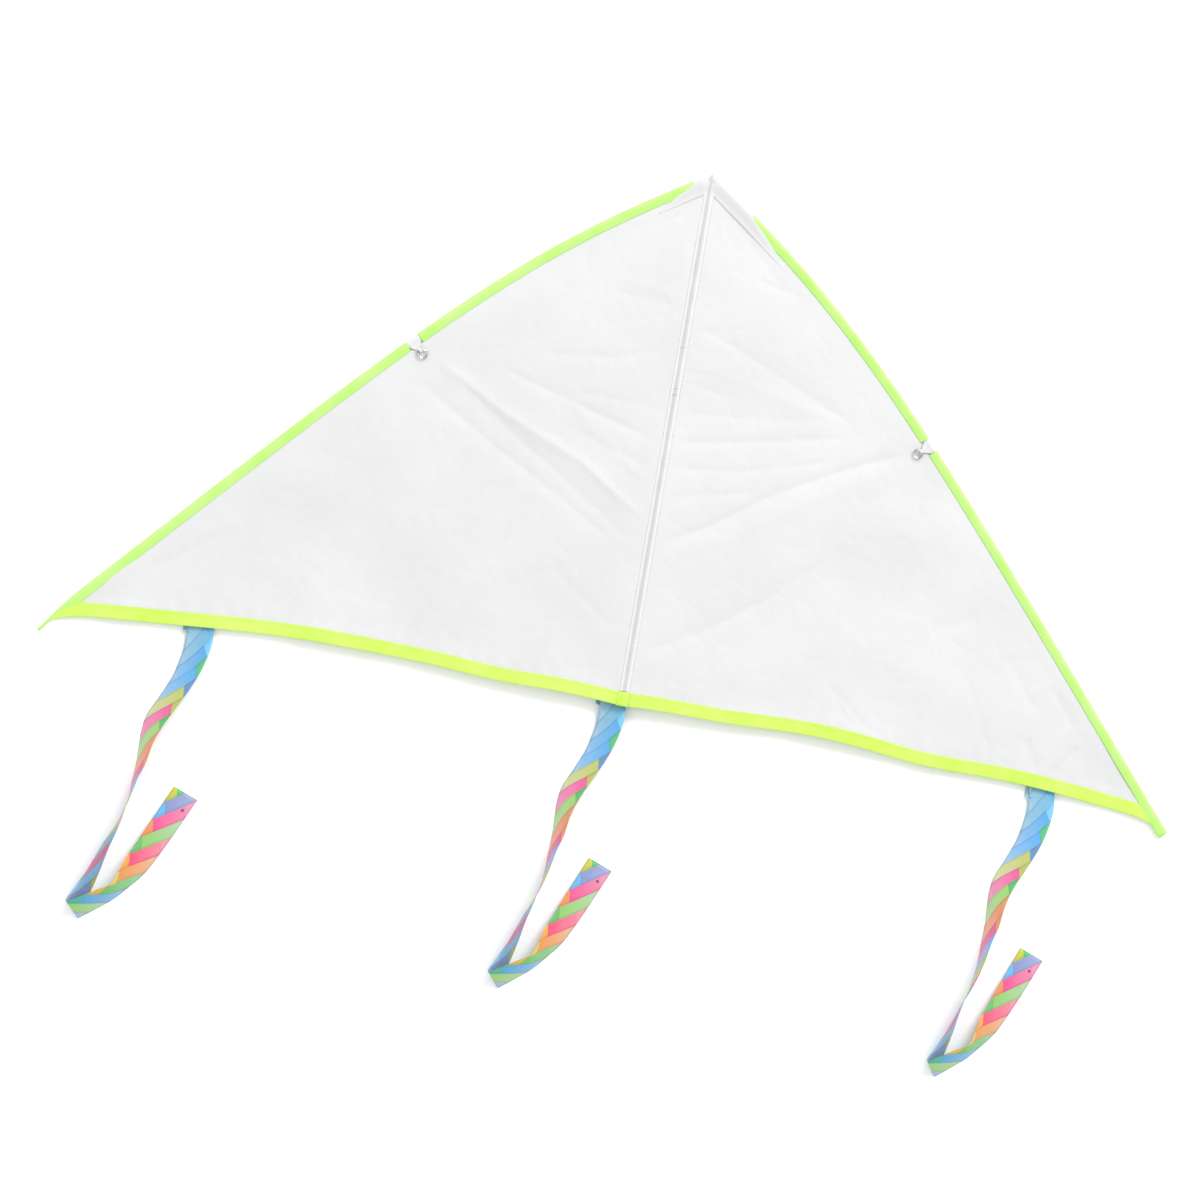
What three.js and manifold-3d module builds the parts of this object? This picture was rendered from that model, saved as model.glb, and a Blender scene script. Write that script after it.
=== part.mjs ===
// A delta kite with three ribbon tails, lying face up on a flat surface.
//
// Millimetres, +Z up, +Y towards the nose, +X towards the right wing tip. The origin is on the
// underside of the centre connector, where the spreader crosses behind the spine. Each wing is
// modelled flat, in a group that turns about the spine seam, and slopes down to its tip.

import * as THREE from "three";
import { mergeVertices } from "three/addons/utils/BufferGeometryUtils.js";
import Module from "manifold-3d";

const wasm = await Module();
wasm.setup();

// ---------------------------------------------------------------- driving dimensions

const GAP = 0.3; // between neighbouring pieces

// Outline of one wing: distance out from the spine, and distance back from the nose.
const NOSE_Y = 217; // the nose, in front of the origin
const TIP = [548, 546];
const LEADING_POINTS = [[0, 0], [180, 117], [241, 193], TIP];
const TRAILING_POINTS = [[0, 524], [150, 513], [330, 516], [526, 536]];

// Sail and its seam on the spine
const SAIL_THICKNESS = 0.8;
const SAIL_MID = -SAIL_THICKNESS / 2; // the wing group's z = 0 is the sail's face
const HINGE_X = 5; // each wing folds about a line this far from the spine
const HINGE_Z = 13;
const FOLD_CLEARANCE = 3 * GAP; // from that line to the thick pieces beside it

// Rods, their end caps, and the sleeves that hold them
const ROD_RADIUS = 1.75;
const CAP_INNER = 2.1;
const CAP_OUTER = 2.5;
const CAP_LENGTH = 7;
const CAP_FLOOR = 1.5;
const SLEEVE_INNER = CAP_OUTER + 1.5 * GAP;
const SLEEVE_OUTER = 3.5;
const ROD_FRONT_SPARE = 4; // from the front end of a leading-edge rod's sleeve to the rod
const ROD_TIP_SPARE = 56; // the last of the sleeve is empty

// Folded tape along the edges: across its width, from the outer edge inwards
const TAPE_WIDTH = 12.5;
const LEADING_WIDTH = 9.5;
const TAPE_HALF_THICKNESS = 1.3;
const SLOT_HALF = SAIL_THICKNESS / 2 + GAP;
const LEADING_SLOT_START = 7.2;
const TRAILING_SLOT_START = 1.2;

// White cloth over the nose, measured out from the spine
const NOSE_CLOTH = { left: 17, right: 46 };
const NOSE_ROD_START = 13; // arc length from the nose to the end of a leading-edge rod's sleeve
const TIP_SLEEVE_END = 1;

// Fitting on the leading edge
const FITTING_DEPTH = NOSE_Y; // behind the nose, level with the spreader
const TAPE_OPENING = 14;
const TAB_WIDTH_OUTER = 12.5;
const TAB_WIDTH_INNER = 4;
const WEBBING = 0.6;
const RING_MEAN_RADIUS = 4.2;
const RING_WIRE_RADIUS = 0.95;
const RING_INSET = 18.5; // ring centre, in from the outer edge
const LOOP_INNER = 1.5;
const LOOP_OUTER = LOOP_INNER + 0.55;
const LOOP_WIDTH = 3.2;

// Spreader, behind the sail
const SPREADER_Z = 3.2;
const SPREADER_HALF = 235;
const SOCKET_WALL = 0.9;
const SOCKET_SIDE = 1.4;
const SOCKET_LENGTH = 16;
const SOCKET_DEPTH = 5.6; // from its roof's underside down

// Centre connector: a base round the spreader, and a narrower clip round the spine
const CONNECTOR_BASE = { halfWidth: 8, halfLength: 6, top: 6.6 };
const CONNECTOR_CLIP = { halfWidth: 3.6, bottom: 6, top: 11.5 };

// Spine
const SPINE_Z = 10.4;
const SPINE_START = 8; // sleeve's front end, behind the nose
const SPINE_END = 511;
const HEM_AT_SPINE = 524;
const POCKET_HALF_WIDTH = 4.4;
const POCKET_CHAMFER = 1.8;
const POCKET_BOTTOM = 7.0;
const POCKET_TOP = 13.8;
const WINDOW_HALF_LENGTH = 6.6;
const WINDOW_TOP = 12.7;
const ROD_END_SPARE = 5; // from each end of the pocket to the spine rod

// Tails
const TAIL_X = { left: -406, centre: -12, right: 414 };
const TAIL_SET_BACK = { left: 2, centre: 0, right: 7 }; // of each ribbon, from the hem's rear edge
const RIBBON_WIDTH = 25;
const RIBBON_THICKNESS = 0.8;
const RIBBON_STEPS = 80;
const SNAP_INSET = 6; // in front of the hem's rear edge
const SNAP_X = { left: 4, centre: -TAIL_X.centre, right: 4 }; // across the ribbon
const SNAP_RADIUS = 3.5;
const POST_RADIUS = 1.2;
const POST_LENGTH = 2.9;
const SNAP_FLANGE = 0.7;
const TAIL_SNAP_DEPTHS = [2.2, 3]; // of the lower half, below the snap's top
const EYELET_BORE_RADIUS = 0.6;
const EYELET_BACK = 15; // from the ribbon's free end
const EYELET_ASIDE = 6; // to the right of the ribbon's middle
const FLOOR_CLEARANCE = 0.15;

// The wing slopes so that its tip sleeve just rests on the surface.
const TIP_DROP = HINGE_Z + SAIL_MID - SLEEVE_OUTER;
const TIP_OVERHANG = 2; // of the sleeve's squared end, past the tip
const SLOPE = Math.asin(TIP_DROP / (TIP[0] + TIP_OVERHANG - HINGE_X));

// Half the size of the boxes that trim a wing's pieces, well beyond its outline.
const TRIM_REACH = 700;

// ---------------------------------------------------------------- materials

const CLOTH = new THREE.MeshStandardMaterial({ color: 0xf1f2f3, roughness: 0.75 });
const TAPE = new THREE.MeshStandardMaterial({ color: 0xd0ff6a, roughness: 0.65 });
const WEB = new THREE.MeshStandardMaterial({ color: 0xe6e8ea, roughness: 0.8 });
const RIBBON = new THREE.MeshStandardMaterial({ color: 0x5fb4e8, roughness: 0.6 });
const FIBREGLASS = new THREE.MeshStandardMaterial({ color: 0x2a2c2e, roughness: 0.4 });
const PLASTIC = new THREE.MeshStandardMaterial({ color: 0x1d1e20, roughness: 0.45 });
const STEEL = new THREE.MeshStandardMaterial({ color: 0xb9bcc0, roughness: 0.25, metalness: 1 });

// ---------------------------------------------------------------- curves

const toPoint = ([x, depth]) => new THREE.Vector2(x, NOSE_Y - depth);
const LEADING_EDGE = new THREE.CubicBezierCurve(...LEADING_POINTS.map(toPoint));
const TRAILING_EDGE = new THREE.CubicBezierCurve(...TRAILING_POINTS.map(toPoint));
const LEADING_LENGTH = LEADING_EDGE.getLength();
const TRAILING_LENGTH = TRAILING_EDGE.getLength();

// The edge of the right wing is travelled from the spine outwards. A stretch of it runs between two
// arc lengths, a given distance inside the edge, and side -1 mirrors it to the left wing.
class EdgeStretch extends THREE.Curve {
  constructor({ edge, side, from, to, inset = 0, inwards }) {
    super();
    Object.assign(this, { edge, side, from, to, inset, inwards });
    this.edgeLength = edge.getLength();
  }

  getPoint(t, target = new THREE.Vector3()) {
    const u = THREE.MathUtils.lerp(this.from, this.to, t) / this.edgeLength;
    const point = this.edge.getPointAt(u);
    const tangent = this.edge.getTangentAt(u);
    const x = point.x + this.inwards * tangent.y * this.inset;
    const y = point.y - this.inwards * tangent.x * this.inset;
    return target.set(this.side * x, y, SAIL_MID);
  }
}

const INWARDS_OF_LEADING = 1;
const INWARDS_OF_TRAILING = -1;

function leadingStretch(side, from, to, inset = 0) {
  return new EdgeStretch({ edge: LEADING_EDGE, side, from, to, inset, inwards: INWARDS_OF_LEADING });
}

function trailingStretch(side, from, to, inset = 0) {
  return new EdgeStretch({ edge: TRAILING_EDGE, side, from, to, inset, inwards: INWARDS_OF_TRAILING });
}

// Arc length along an edge at which a rising measure of its points reaches a value.
function arcWhere(edge, measure, value) {
  let low = 0;
  let high = 1;
  for (let i = 0; i < 40; i += 1) {
    const middle = (low + high) / 2;
    if (measure(edge.getPointAt(middle)) < value) low = middle;
    else high = middle;
  }
  return low * edge.getLength();
}

const FITTING_ARC = arcWhere(LEADING_EDGE, (p) => NOSE_Y - p.y, FITTING_DEPTH);

// ---------------------------------------------------------------- solids

function toManifold(geometry) {
  const bare = geometry.clone();
  bare.deleteAttribute("normal");
  bare.deleteAttribute("uv");
  const merged = mergeVertices(bare, 1e-5);
  const vertProperties = new Float32Array(merged.attributes.position.array);
  const triVerts = new Uint32Array(merged.index.array);
  return new wasm.Manifold(new wasm.Mesh({ numProp: 3, vertProperties, triVerts }));
}

function toGeometry(manifold) {
  const mesh = manifold.getMesh();
  const geometry = new THREE.BufferGeometry();
  geometry.setAttribute("position", new THREE.BufferAttribute(mesh.vertProperties, 3));
  geometry.setIndex(new THREE.BufferAttribute(mesh.triVerts, 1));
  geometry.computeVertexNormals();
  return geometry;
}

function join(...geometries) {
  return toGeometry(geometries.map(toManifold).reduce((whole, next) => whole.add(next)));
}

function cut(geometry, ...tools) {
  const body = toManifold(geometry);
  return toGeometry(tools.map(toManifold).reduce((whole, next) => whole.subtract(next), body));
}

function common(a, b) {
  return toGeometry(toManifold(a).intersect(toManifold(b)));
}

// A flat plate of a given outline, between two heights.
function plate(points, bottom, top) {
  const geometry = new THREE.ExtrudeGeometry(new THREE.Shape(points), {
    depth: top - bottom,
    bevelEnabled: false,
  });
  return geometry.translate(0, 0, bottom);
}

function box(xs, ys, zs) {
  const size = [xs, ys, zs].map(([low, high]) => high - low);
  const middle = [xs, ys, zs].map(([low, high]) => (high + low) / 2);
  return new THREE.BoxGeometry(...size).translate(...middle);
}

// A section drawn in x and z, pushed backwards from startY.
function alongSpine(shape, startY, length) {
  const geometry = new THREE.ExtrudeGeometry(shape, { depth: length, bevelEnabled: false });
  return geometry.rotateX(Math.PI / 2).translate(0, startY, 0);
}

function circlePoints(radius, x, y, sides) {
  return Array.from({ length: sides }, (_, i) => {
    const angle = (2 * Math.PI * (i + 0.5)) / sides;
    return new THREE.Vector2(x + radius * Math.cos(angle), y + radius * Math.sin(angle));
  });
}

// A section pushed along an edge. The sweep's frame has its x axis downwards and its y axis to the
// left of travel, so section points (inset from the edge, height above the sail's middle) are turned.
function alongEdge(stretch, outline, steps) {
  const leftIsInwards = -stretch.inwards * stretch.side;
  const turn = ([inset, height]) => new THREE.Vector2(-height, leftIsInwards * inset);
  const shape = new THREE.Shape(outline.map(turn));
  return new THREE.ExtrudeGeometry(shape, { steps, extrudePath: stretch, bevelEnabled: false });
}

// ---------------------------------------------------------------- rods and caps

const roundSection = (radius, sides = 12) => circlePoints(radius, 0, 0, sides).map((p) => [p.x, p.y]);

function rodStretch(side) {
  const from = NOSE_ROD_START + ROD_FRONT_SPARE;
  return leadingStretch(side, from, LEADING_LENGTH - ROD_TIP_SPARE, SLEEVE_OUTER);
}

function leadingRod(side) {
  return alongEdge(rodStretch(side), roundSection(ROD_RADIUS, 8), 28);
}

function straightRod(length) {
  return new THREE.CylinderGeometry(ROD_RADIUS, ROD_RADIUS, length, 12);
}

// A cup over a rod's end, open towards +Y, with the underside of its floor at y = 0.
function rodCap() {
  const profile = [
    [0, 0],
    [CAP_OUTER, 0],
    [CAP_OUTER, CAP_LENGTH],
    [CAP_INNER, CAP_LENGTH],
    [CAP_INNER, CAP_FLOOR],
    [0, CAP_FLOOR],
  ];
  return new THREE.LatheGeometry(profile.map(([r, y]) => new THREE.Vector2(r, y)), 14);
}

// ---------------------------------------------------------------- cloth and tape

// Everything inside a line that runs a given distance within the leading edge.
function insideLeading(side, inset, bottom, top) {
  const stretch = leadingStretch(side, 0, LEADING_LENGTH, inset);
  const points = stretch.getPoints(40).map((p) => new THREE.Vector2(p.x, p.y));
  const acrossSpine = side * -TAPE_WIDTH * 2;
  const outline = [new THREE.Vector2(acrossSpine, NOSE_Y - inset), ...points];
  outline.push(
    new THREE.Vector2(points.at(-1).x, -TRIM_REACH),
    new THREE.Vector2(acrossSpine, -TRIM_REACH),
  );
  return plate(outline, bottom, top);
}

// Everything in front of a line that runs a given distance within the trailing edge.
function aheadOfTrailing(side, inset, bottom, top) {
  const stretch = trailingStretch(side, 0, TRAILING_LENGTH, inset);
  const points = stretch.getPoints(24).map((p) => new THREE.Vector2(p.x, p.y));
  const beyondTip = side * TRIM_REACH;
  const outline = [
    ...points,
    new THREE.Vector2(beyondTip, points.at(-1).y),
    new THREE.Vector2(beyondTip, TRIM_REACH),
    new THREE.Vector2(0, TRIM_REACH),
  ];
  return plate(outline, bottom, top);
}

// Everything further out than a line along the spine.
function outside(side, fromX) {
  const xs = side > 0 ? [fromX, TRIM_REACH] : [-TRIM_REACH, -fromX];
  return box(xs, [-TRIM_REACH, TRIM_REACH], [-TAPE_WIDTH, TAPE_WIDTH]);
}

function sailPanel(side) {
  const inside = insideLeading(side, LEADING_SLOT_START + GAP, -SAIL_THICKNESS, 0);
  const ahead = aheadOfTrailing(side, TRAILING_SLOT_START + GAP, -TAPE_WIDTH, TAPE_WIDTH);
  return common(common(inside, ahead), outside(side, HINGE_X + GAP));
}

// Leading-edge tape: a sleeve for the rod, and a flange that holds the sail between two layers.
function sleeveOutline() {
  const start = Math.asin(TAPE_HALF_THICKNESS / SLEEVE_OUTER);
  const turns = 11;
  const arc = Array.from({ length: turns + 1 }, (_, i) => {
    const angle = start + ((2 * Math.PI - 2 * start) * i) / turns;
    return [SLEEVE_OUTER + SLEEVE_OUTER * Math.cos(angle), SLEEVE_OUTER * Math.sin(angle)];
  });
  return [
    ...arc,
    [LEADING_WIDTH, -TAPE_HALF_THICKNESS],
    [LEADING_WIDTH, -SLOT_HALF],
    [LEADING_SLOT_START, -SLOT_HALF],
    [LEADING_SLOT_START, SLOT_HALF],
    [LEADING_WIDTH, SLOT_HALF],
    [LEADING_WIDTH, TAPE_HALF_THICKNESS],
  ];
}

function leadingTape(side, from, to, steps) {
  const folded = alongEdge(leadingStretch(side, from, to), sleeveOutline(), steps);
  const bore = leadingStretch(side, from - 1, to + 1, SLEEVE_OUTER);
  return cut(folded, alongEdge(bore, roundSection(SLEEVE_INNER), steps));
}

function clothStart(side) {
  const reach = side > 0 ? NOSE_CLOTH.right : NOSE_CLOTH.left;
  return arcWhere(LEADING_EDGE, (p) => p.x, reach);
}

function upperTape(side) {
  return leadingTape(side, clothStart(side) + GAP, FITTING_ARC - TAPE_OPENING / 2, 15);
}

function lowerTape(side) {
  return leadingTape(side, FITTING_ARC + TAPE_OPENING / 2, LEADING_LENGTH - TIP_SLEEVE_END, 15);
}

// Half of the white cloth folded over the nose: solid from edge to spine, hollow for rod and sail.
function noseCap(side) {
  const reach = clothStart(side);
  const strip = (inset, to) => leadingStretch(side, 0, to, inset).getPoints(10);
  const outline = [...strip(0, reach), ...strip(LEADING_WIDTH, reach).reverse()];
  const patch = plate(
    outline.map((p) => new THREE.Vector2(p.x, p.y)),
    SAIL_MID - SLEEVE_OUTER,
    SAIL_MID + SLEEVE_OUTER,
  );
  const body = cut(
    common(patch, outside(side, HINGE_X + FOLD_CLEARANCE)),
    insideLeading(side, LEADING_SLOT_START, SAIL_MID - SLOT_HALF, SAIL_MID + SLOT_HALF),
  );
  const bore = leadingStretch(side, NOSE_ROD_START, reach + TAPE_WIDTH, SLEEVE_OUTER);
  return cut(body, alongEdge(bore, roundSection(SLEEVE_INNER), 6));
}

// Trailing-edge tape: folded round the sail's edge, and cut off where it meets the leading-edge tape.
function trailingTape(side) {
  const outline = [
    [0, -TAPE_HALF_THICKNESS],
    [0, TAPE_HALF_THICKNESS],
    [TAPE_WIDTH, TAPE_HALF_THICKNESS],
    [TAPE_WIDTH, SLOT_HALF],
    [TRAILING_SLOT_START, SLOT_HALF],
    [TRAILING_SLOT_START, -SLOT_HALF],
    [TAPE_WIDTH, -SLOT_HALF],
    [TAPE_WIDTH, -TAPE_HALF_THICKNESS],
  ];
  const sweep = alongEdge(trailingStretch(side, 0, TRAILING_LENGTH), outline, 24);
  const inside = insideLeading(side, LEADING_WIDTH + GAP, -TAPE_WIDTH, TAPE_WIDTH);
  return common(common(sweep, inside), outside(side, HINGE_X + FOLD_CLEARANCE));
}

// ---------------------------------------------------------------- leading-edge fitting

// The fitting's own frame: x runs inwards from the tape's outer edge, y along the edge, z up from
// the sail's face.
function fittingFrame(side) {
  const edge = leadingStretch(side, 0, LEADING_LENGTH);
  const u = FITTING_ARC / LEADING_LENGTH;
  const point = edge.getPoint(u);
  const tangent = edge.getTangent(u);
  const frame = new THREE.Group();
  frame.position.set(point.x, point.y, 0);
  const inwards = new THREE.Vector3(side * tangent.y, -side * tangent.x, 0);
  const up = new THREE.Vector3(0, 0, 1);
  const along = new THREE.Vector3().crossVectors(up, inwards);
  frame.setRotationFromMatrix(new THREE.Matrix4().makeBasis(inwards, along, up));
  return frame;
}

function band(inner, outer, width, x, z) {
  const shape = new THREE.Shape(circlePoints(outer, 0, 0, 14));
  shape.holes.push(new THREE.Path(circlePoints(inner, 0, 0, 14)));
  const geometry = new THREE.ExtrudeGeometry(shape, { depth: width, bevelEnabled: false });
  return geometry.rotateX(Math.PI / 2).translate(x, width / 2, z);
}

const LOOP_X = RING_INSET - RING_MEAN_RADIUS;
const LOOP_Z = GAP + LOOP_OUTER;

// Webbing that wraps the rod, runs inwards over and under the sail, and ends in a loop for the ring.
function webbingTab() {
  const wrapOuter = ROD_RADIUS + GAP + WEBBING;
  const wrap = band(ROD_RADIUS + GAP, wrapOuter, TAB_WIDTH_OUTER, SLEEVE_OUTER, SAIL_MID);
  const legStart = SLEEVE_OUTER + wrapOuter - WEBBING;
  const half = TAB_WIDTH_OUTER / 2;
  const halfAtRing = TAB_WIDTH_INNER / 2;
  const upperEnd = LOOP_X - LOOP_INNER / 2;
  const upper = box([legStart, upperEnd], [-half, half], [GAP, GAP + WEBBING]);
  const underside = -SAIL_THICKNESS - GAP;
  const lower = box([legStart, LOOP_X], [-half, half], [underside - WEBBING, underside]);
  const loop = band(LOOP_INNER, LOOP_OUTER, LOOP_WIDTH, LOOP_X, LOOP_Z);
  const taper = [
    [-1, half],
    [SLEEVE_OUTER + ROD_RADIUS, half],
    [LOOP_X - LOOP_OUTER, halfAtRing],
    [RING_INSET, halfAtRing],
  ];
  const outline = [...taper, ...taper.map(([x, y]) => [x, -y]).reverse()];
  const corners = outline.map(([x, y]) => new THREE.Vector2(x, y));
  const trapezoid = plate(corners, -TAPE_WIDTH, TAPE_WIDTH);
  return common(join(wrap, upper, lower, loop), trapezoid);
}

// The ring hangs in the loop with its far side resting on the sail.
const RING_LEAN = Math.asin((LOOP_Z - RING_WIRE_RADIUS - GAP) / (2 * RING_MEAN_RADIUS));

function ring() {
  const torus = new THREE.TorusGeometry(RING_MEAN_RADIUS, RING_WIRE_RADIUS, 8, 28);
  return torus.translate(RING_MEAN_RADIUS, 0, 0).rotateY(RING_LEAN);
}

// ---------------------------------------------------------------- spreader

// A cradle, open underneath and towards the spine, that the spreader's capped end sits in. Its own
// frame has x outwards along the spreader, and z = 0 at the roof's underside.
function spreaderSocket() {
  const halfWidth = CAP_OUTER + GAP;
  const outerHalf = halfWidth + SOCKET_SIDE;
  const outer = box(
    [0, SOCKET_LENGTH + SOCKET_SIDE],
    [-outerHalf, outerHalf],
    [-SOCKET_DEPTH, SOCKET_WALL],
  );
  const hollow = box([-1, SOCKET_LENGTH], [-halfWidth, halfWidth], [-SOCKET_DEPTH - 1, 0]);
  return cut(outer, hollow);
}

function centreConnector() {
  const { halfWidth, halfLength, top } = CONNECTOR_BASE;
  const clip = CONNECTOR_CLIP;
  const ys = [-halfLength, halfLength];
  const body = join(
    box([-halfWidth, halfWidth], ys, [0, top]),
    box([-clip.halfWidth, clip.halfWidth], ys, [clip.bottom, clip.top]),
  );
  const bore = () => new THREE.CylinderGeometry(CAP_INNER, CAP_INNER, 4 * halfWidth, 16);
  const spreaderBore = bore().rotateZ(Math.PI / 2).translate(0, 0, SPREADER_Z);
  return cut(body, bore().translate(0, 0, SPINE_Z), spreaderBore);
}

function spinePocket() {
  const w = POCKET_HALF_WIDTH;
  const inner = w - POCKET_CHAMFER;
  const outline = [
    [-w, POCKET_BOTTOM + POCKET_CHAMFER],
    [-inner, POCKET_BOTTOM],
    [inner, POCKET_BOTTOM],
    [w, POCKET_BOTTOM + POCKET_CHAMFER],
    [w, POCKET_TOP - POCKET_CHAMFER],
    [inner, POCKET_TOP],
    [-inner, POCKET_TOP],
    [-w, POCKET_TOP - POCKET_CHAMFER],
  ];
  const shape = new THREE.Shape(outline.map(([x, z]) => new THREE.Vector2(x, z)));
  shape.holes.push(new THREE.Path(circlePoints(SLEEVE_INNER, 0, SPINE_Z, 12)));
  const sleeve = alongSpine(shape, NOSE_Y - SPINE_START, SPINE_END - SPINE_START);
  const half = WINDOW_HALF_LENGTH;
  return cut(sleeve, box([-w - 1, w + 1], [-half, half], [POCKET_BOTTOM - 1, WINDOW_TOP]));
}

// The trailing-edge tape where it closes the pocket's rear end.
function tapeOverSpine() {
  const w = POCKET_HALF_WIDTH;
  const rear = NOSE_Y - HEM_AT_SPINE;
  const front = NOSE_Y - SPINE_END - GAP;
  return box([-w, w], [rear, front], [POCKET_BOTTOM, HINGE_Z + SAIL_MID + TAPE_HALF_THICKNESS]);
}

// ---------------------------------------------------------------- tails

// Stations down a ribbon, from its end behind the hem: x, y from the hem's rear edge, the angle its
// width is rolled to, and how much of the hem's height it still has.
const RIBBON_STATIONS = [
  [4, 18, 0, 1],
  [4, 4, 0, 1],
  [5, -9, 8, 0.85],
  [4, -24, 18, 0.4],
  [0, -40, 30, 0.1],
  [-8, -60, 40, 0],
  [-16, -79, 42, 0],
  [-23, -98, 52, 0],
  [-26, -116, 64, 0],
  [-28, -134, 72, 0],
  [-31, -160, 84, 0],
  [-36, -186, 92, 0],
  [-43, -210, 106, 0],
  [-50, -236, 118, 0],
  [-57, -258, 122, 0],
  [-59, -270, 122, 0],
  [-54, -277, 120, 0],
  [-44, -273, 120, 0],
  [-31, -258, 126, 0],
  [-15, -228, 152, 0],
  [3, -190, 172, 0],
  [19, -151, 180, 0],
];

const SNAP_HEIGHT = { left: 3.9, centre: 6.7, right: 3.9 };
const RIBBON_BELOW_SNAP = 1.5; // from the snap's top to the middle of the ribbon

function ribbonCurves(snapTop) {
  const lift = snapTop - RIBBON_BELOW_SNAP - RIBBON_THICKNESS / 2 - FLOOR_CLEARANCE;
  const middle = RIBBON_STATIONS.map(([x, y, roll, raised]) => {
    const lean = THREE.MathUtils.degToRad(roll);
    const halfThickness = (RIBBON_THICKNESS / 2) * Math.abs(Math.cos(lean));
    const standing = (RIBBON_WIDTH / 2) * Math.sin(lean) + halfThickness;
    return new THREE.Vector3(x, y, FLOOR_CLEARANCE + standing + lift * raised);
  });
  const rolls = RIBBON_STATIONS.map(([, , roll]) => new THREE.Vector3(roll, 0, 0));
  return {
    path: new THREE.CatmullRomCurve3(middle, false, "centripetal"),
    roll: new THREE.CatmullRomCurve3(rolls, false, "catmullrom", 0.4),
  };
}

// Four corners of the ribbon's section at each step, joined into one closed strip.
function ribbonStrip(snapTop) {
  const { path, roll } = ribbonCurves(snapTop);
  const up = new THREE.Vector3(0, 0, 1);
  const positions = [];
  for (let i = 0; i <= RIBBON_STEPS; i += 1) {
    const t = i / RIBBON_STEPS;
    const middle = path.getPoint(t);
    const tangent = path.getTangent(t);
    const lean = THREE.MathUtils.degToRad(roll.getPoint(t).x);
    const left = new THREE.Vector3().crossVectors(up, tangent).normalize();
    const across = left.clone().multiplyScalar(Math.cos(lean)).addScaledVector(up, Math.sin(lean));
    const normal = new THREE.Vector3().crossVectors(tangent, across).normalize();
    for (const [w, h] of [[-1, -1], [1, -1], [1, 1], [-1, 1]]) {
      const corner = middle.clone().addScaledVector(across, (w * RIBBON_WIDTH) / 2);
      positions.push(...corner.addScaledVector(normal, (h * RIBBON_THICKNESS) / 2).toArray());
    }
  }
  return closedStrip(positions, 4, RIBBON_STEPS);
}

// Joins rings of corners into one closed body, with flat ends.
function closedStrip(positions, corners, steps) {
  const index = [];
  for (let i = 0; i < steps; i += 1) {
    for (let k = 0; k < corners; k += 1) {
      const a = i * corners + k;
      const b = i * corners + ((k + 1) % corners);
      index.push(a, b, a + corners, b, b + corners, a + corners);
    }
  }
  const last = steps * corners;
  for (let k = 1; k < corners - 1; k += 1) {
    index.push(0, k + 1, k);
    index.push(last, last + k, last + k + 1);
  }
  const geometry = new THREE.BufferGeometry();
  geometry.setAttribute("position", new THREE.Float32BufferAttribute(positions, 3));
  geometry.setIndex(index);
  return geometry;
}

// A vertical cylinder, wider than a snap's post, that cuts a hole through the ribbon.
function holeTool(x, y, z) {
  const radius = POST_RADIUS + GAP;
  return new THREE.CylinderGeometry(radius, radius, 8 * RIBBON_THICKNESS, 14)
    .rotateX(Math.PI / 2).translate(x, y, z);
}

function ribbon(snap) {
  const snapTop = snap.z;
  const snapHole = holeTool(snap.x, snap.y, snapTop - RIBBON_BELOW_SNAP);
  const eye = eyeletPlace(snapTop);
  return cut(ribbonStrip(snapTop), snapHole, holeTool(eye.x, eye.y, eye.z));
}

function eyeletPlace(snapTop) {
  const { path } = ribbonCurves(snapTop);
  const u = 1 - EYELET_BACK / path.getLength();
  const place = path.getPointAt(u);
  const tangent = path.getTangentAt(u);
  return place.add(new THREE.Vector3(tangent.y * EYELET_ASIDE, -tangent.x * EYELET_ASIDE, 0));
}

// A turned piece round a vertical axis, from its profile of radii and heights.
function turned(profile) {
  const lathe = new THREE.LatheGeometry(profile.map(([r, z]) => new THREE.Vector2(r, z)), 18);
  return lathe.rotateX(Math.PI / 2);
}

// A ring between two heights, round a vertical axis.
function turnedRing(inner, outer, bottom, top) {
  return turned([[inner, bottom], [outer, bottom], [outer, top], [inner, top], [inner, bottom]]);
}

// Hem half of a snap: a flange and a post, hanging from z = 0.
function hemSnap() {
  return turned([
    [0, -POST_LENGTH],
    [POST_RADIUS, -POST_LENGTH],
    [POST_RADIUS, -SNAP_FLANGE],
    [SNAP_RADIUS, -SNAP_FLANGE],
    [SNAP_RADIUS, 0],
    [0, 0],
  ]);
}

// Tail half of a snap: a washer under the ribbon, around the post.
function tailSnap() {
  const [top, bottom] = TAIL_SNAP_DEPTHS;
  return turnedRing(POST_RADIUS + GAP, SNAP_RADIUS, -bottom, -top);
}

// A small metal tube in the ribbon's end hole.
function eyelet() {
  const half = RIBBON_THICKNESS / 2;
  return turnedRing(EYELET_BORE_RADIUS, POST_RADIUS, -half, half);
}

// ---------------------------------------------------------------- assembly

function named(name, geometry, material) {
  const mesh = new THREE.Mesh(geometry, material);
  mesh.name = name;
  return mesh;
}

function capAtEnd(name, point, inwards) {
  const cap = named(name, rodCap(), PLASTIC);
  cap.position.copy(point);
  cap.quaternion.setFromUnitVectors(new THREE.Vector3(0, 1, 0), inwards.clone().normalize());
  return cap;
}

function leadingRodCaps(side, label) {
  const spare = CAP_FLOOR + GAP;
  const stretch = rodStretch(side);
  const front = stretch.getTangent(0);
  const rear = stretch.getTangent(1).negate();
  const frontPoint = stretch.getPoint(0).addScaledVector(front, -spare);
  const rearPoint = stretch.getPoint(1).addScaledVector(rear, -spare);
  return [
    capAtEnd(`leading_rod_nose_cap_${label}`, frontPoint, front),
    capAtEnd(`leading_rod_tip_cap_${label}`, rearPoint, rear),
  ];
}

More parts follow.
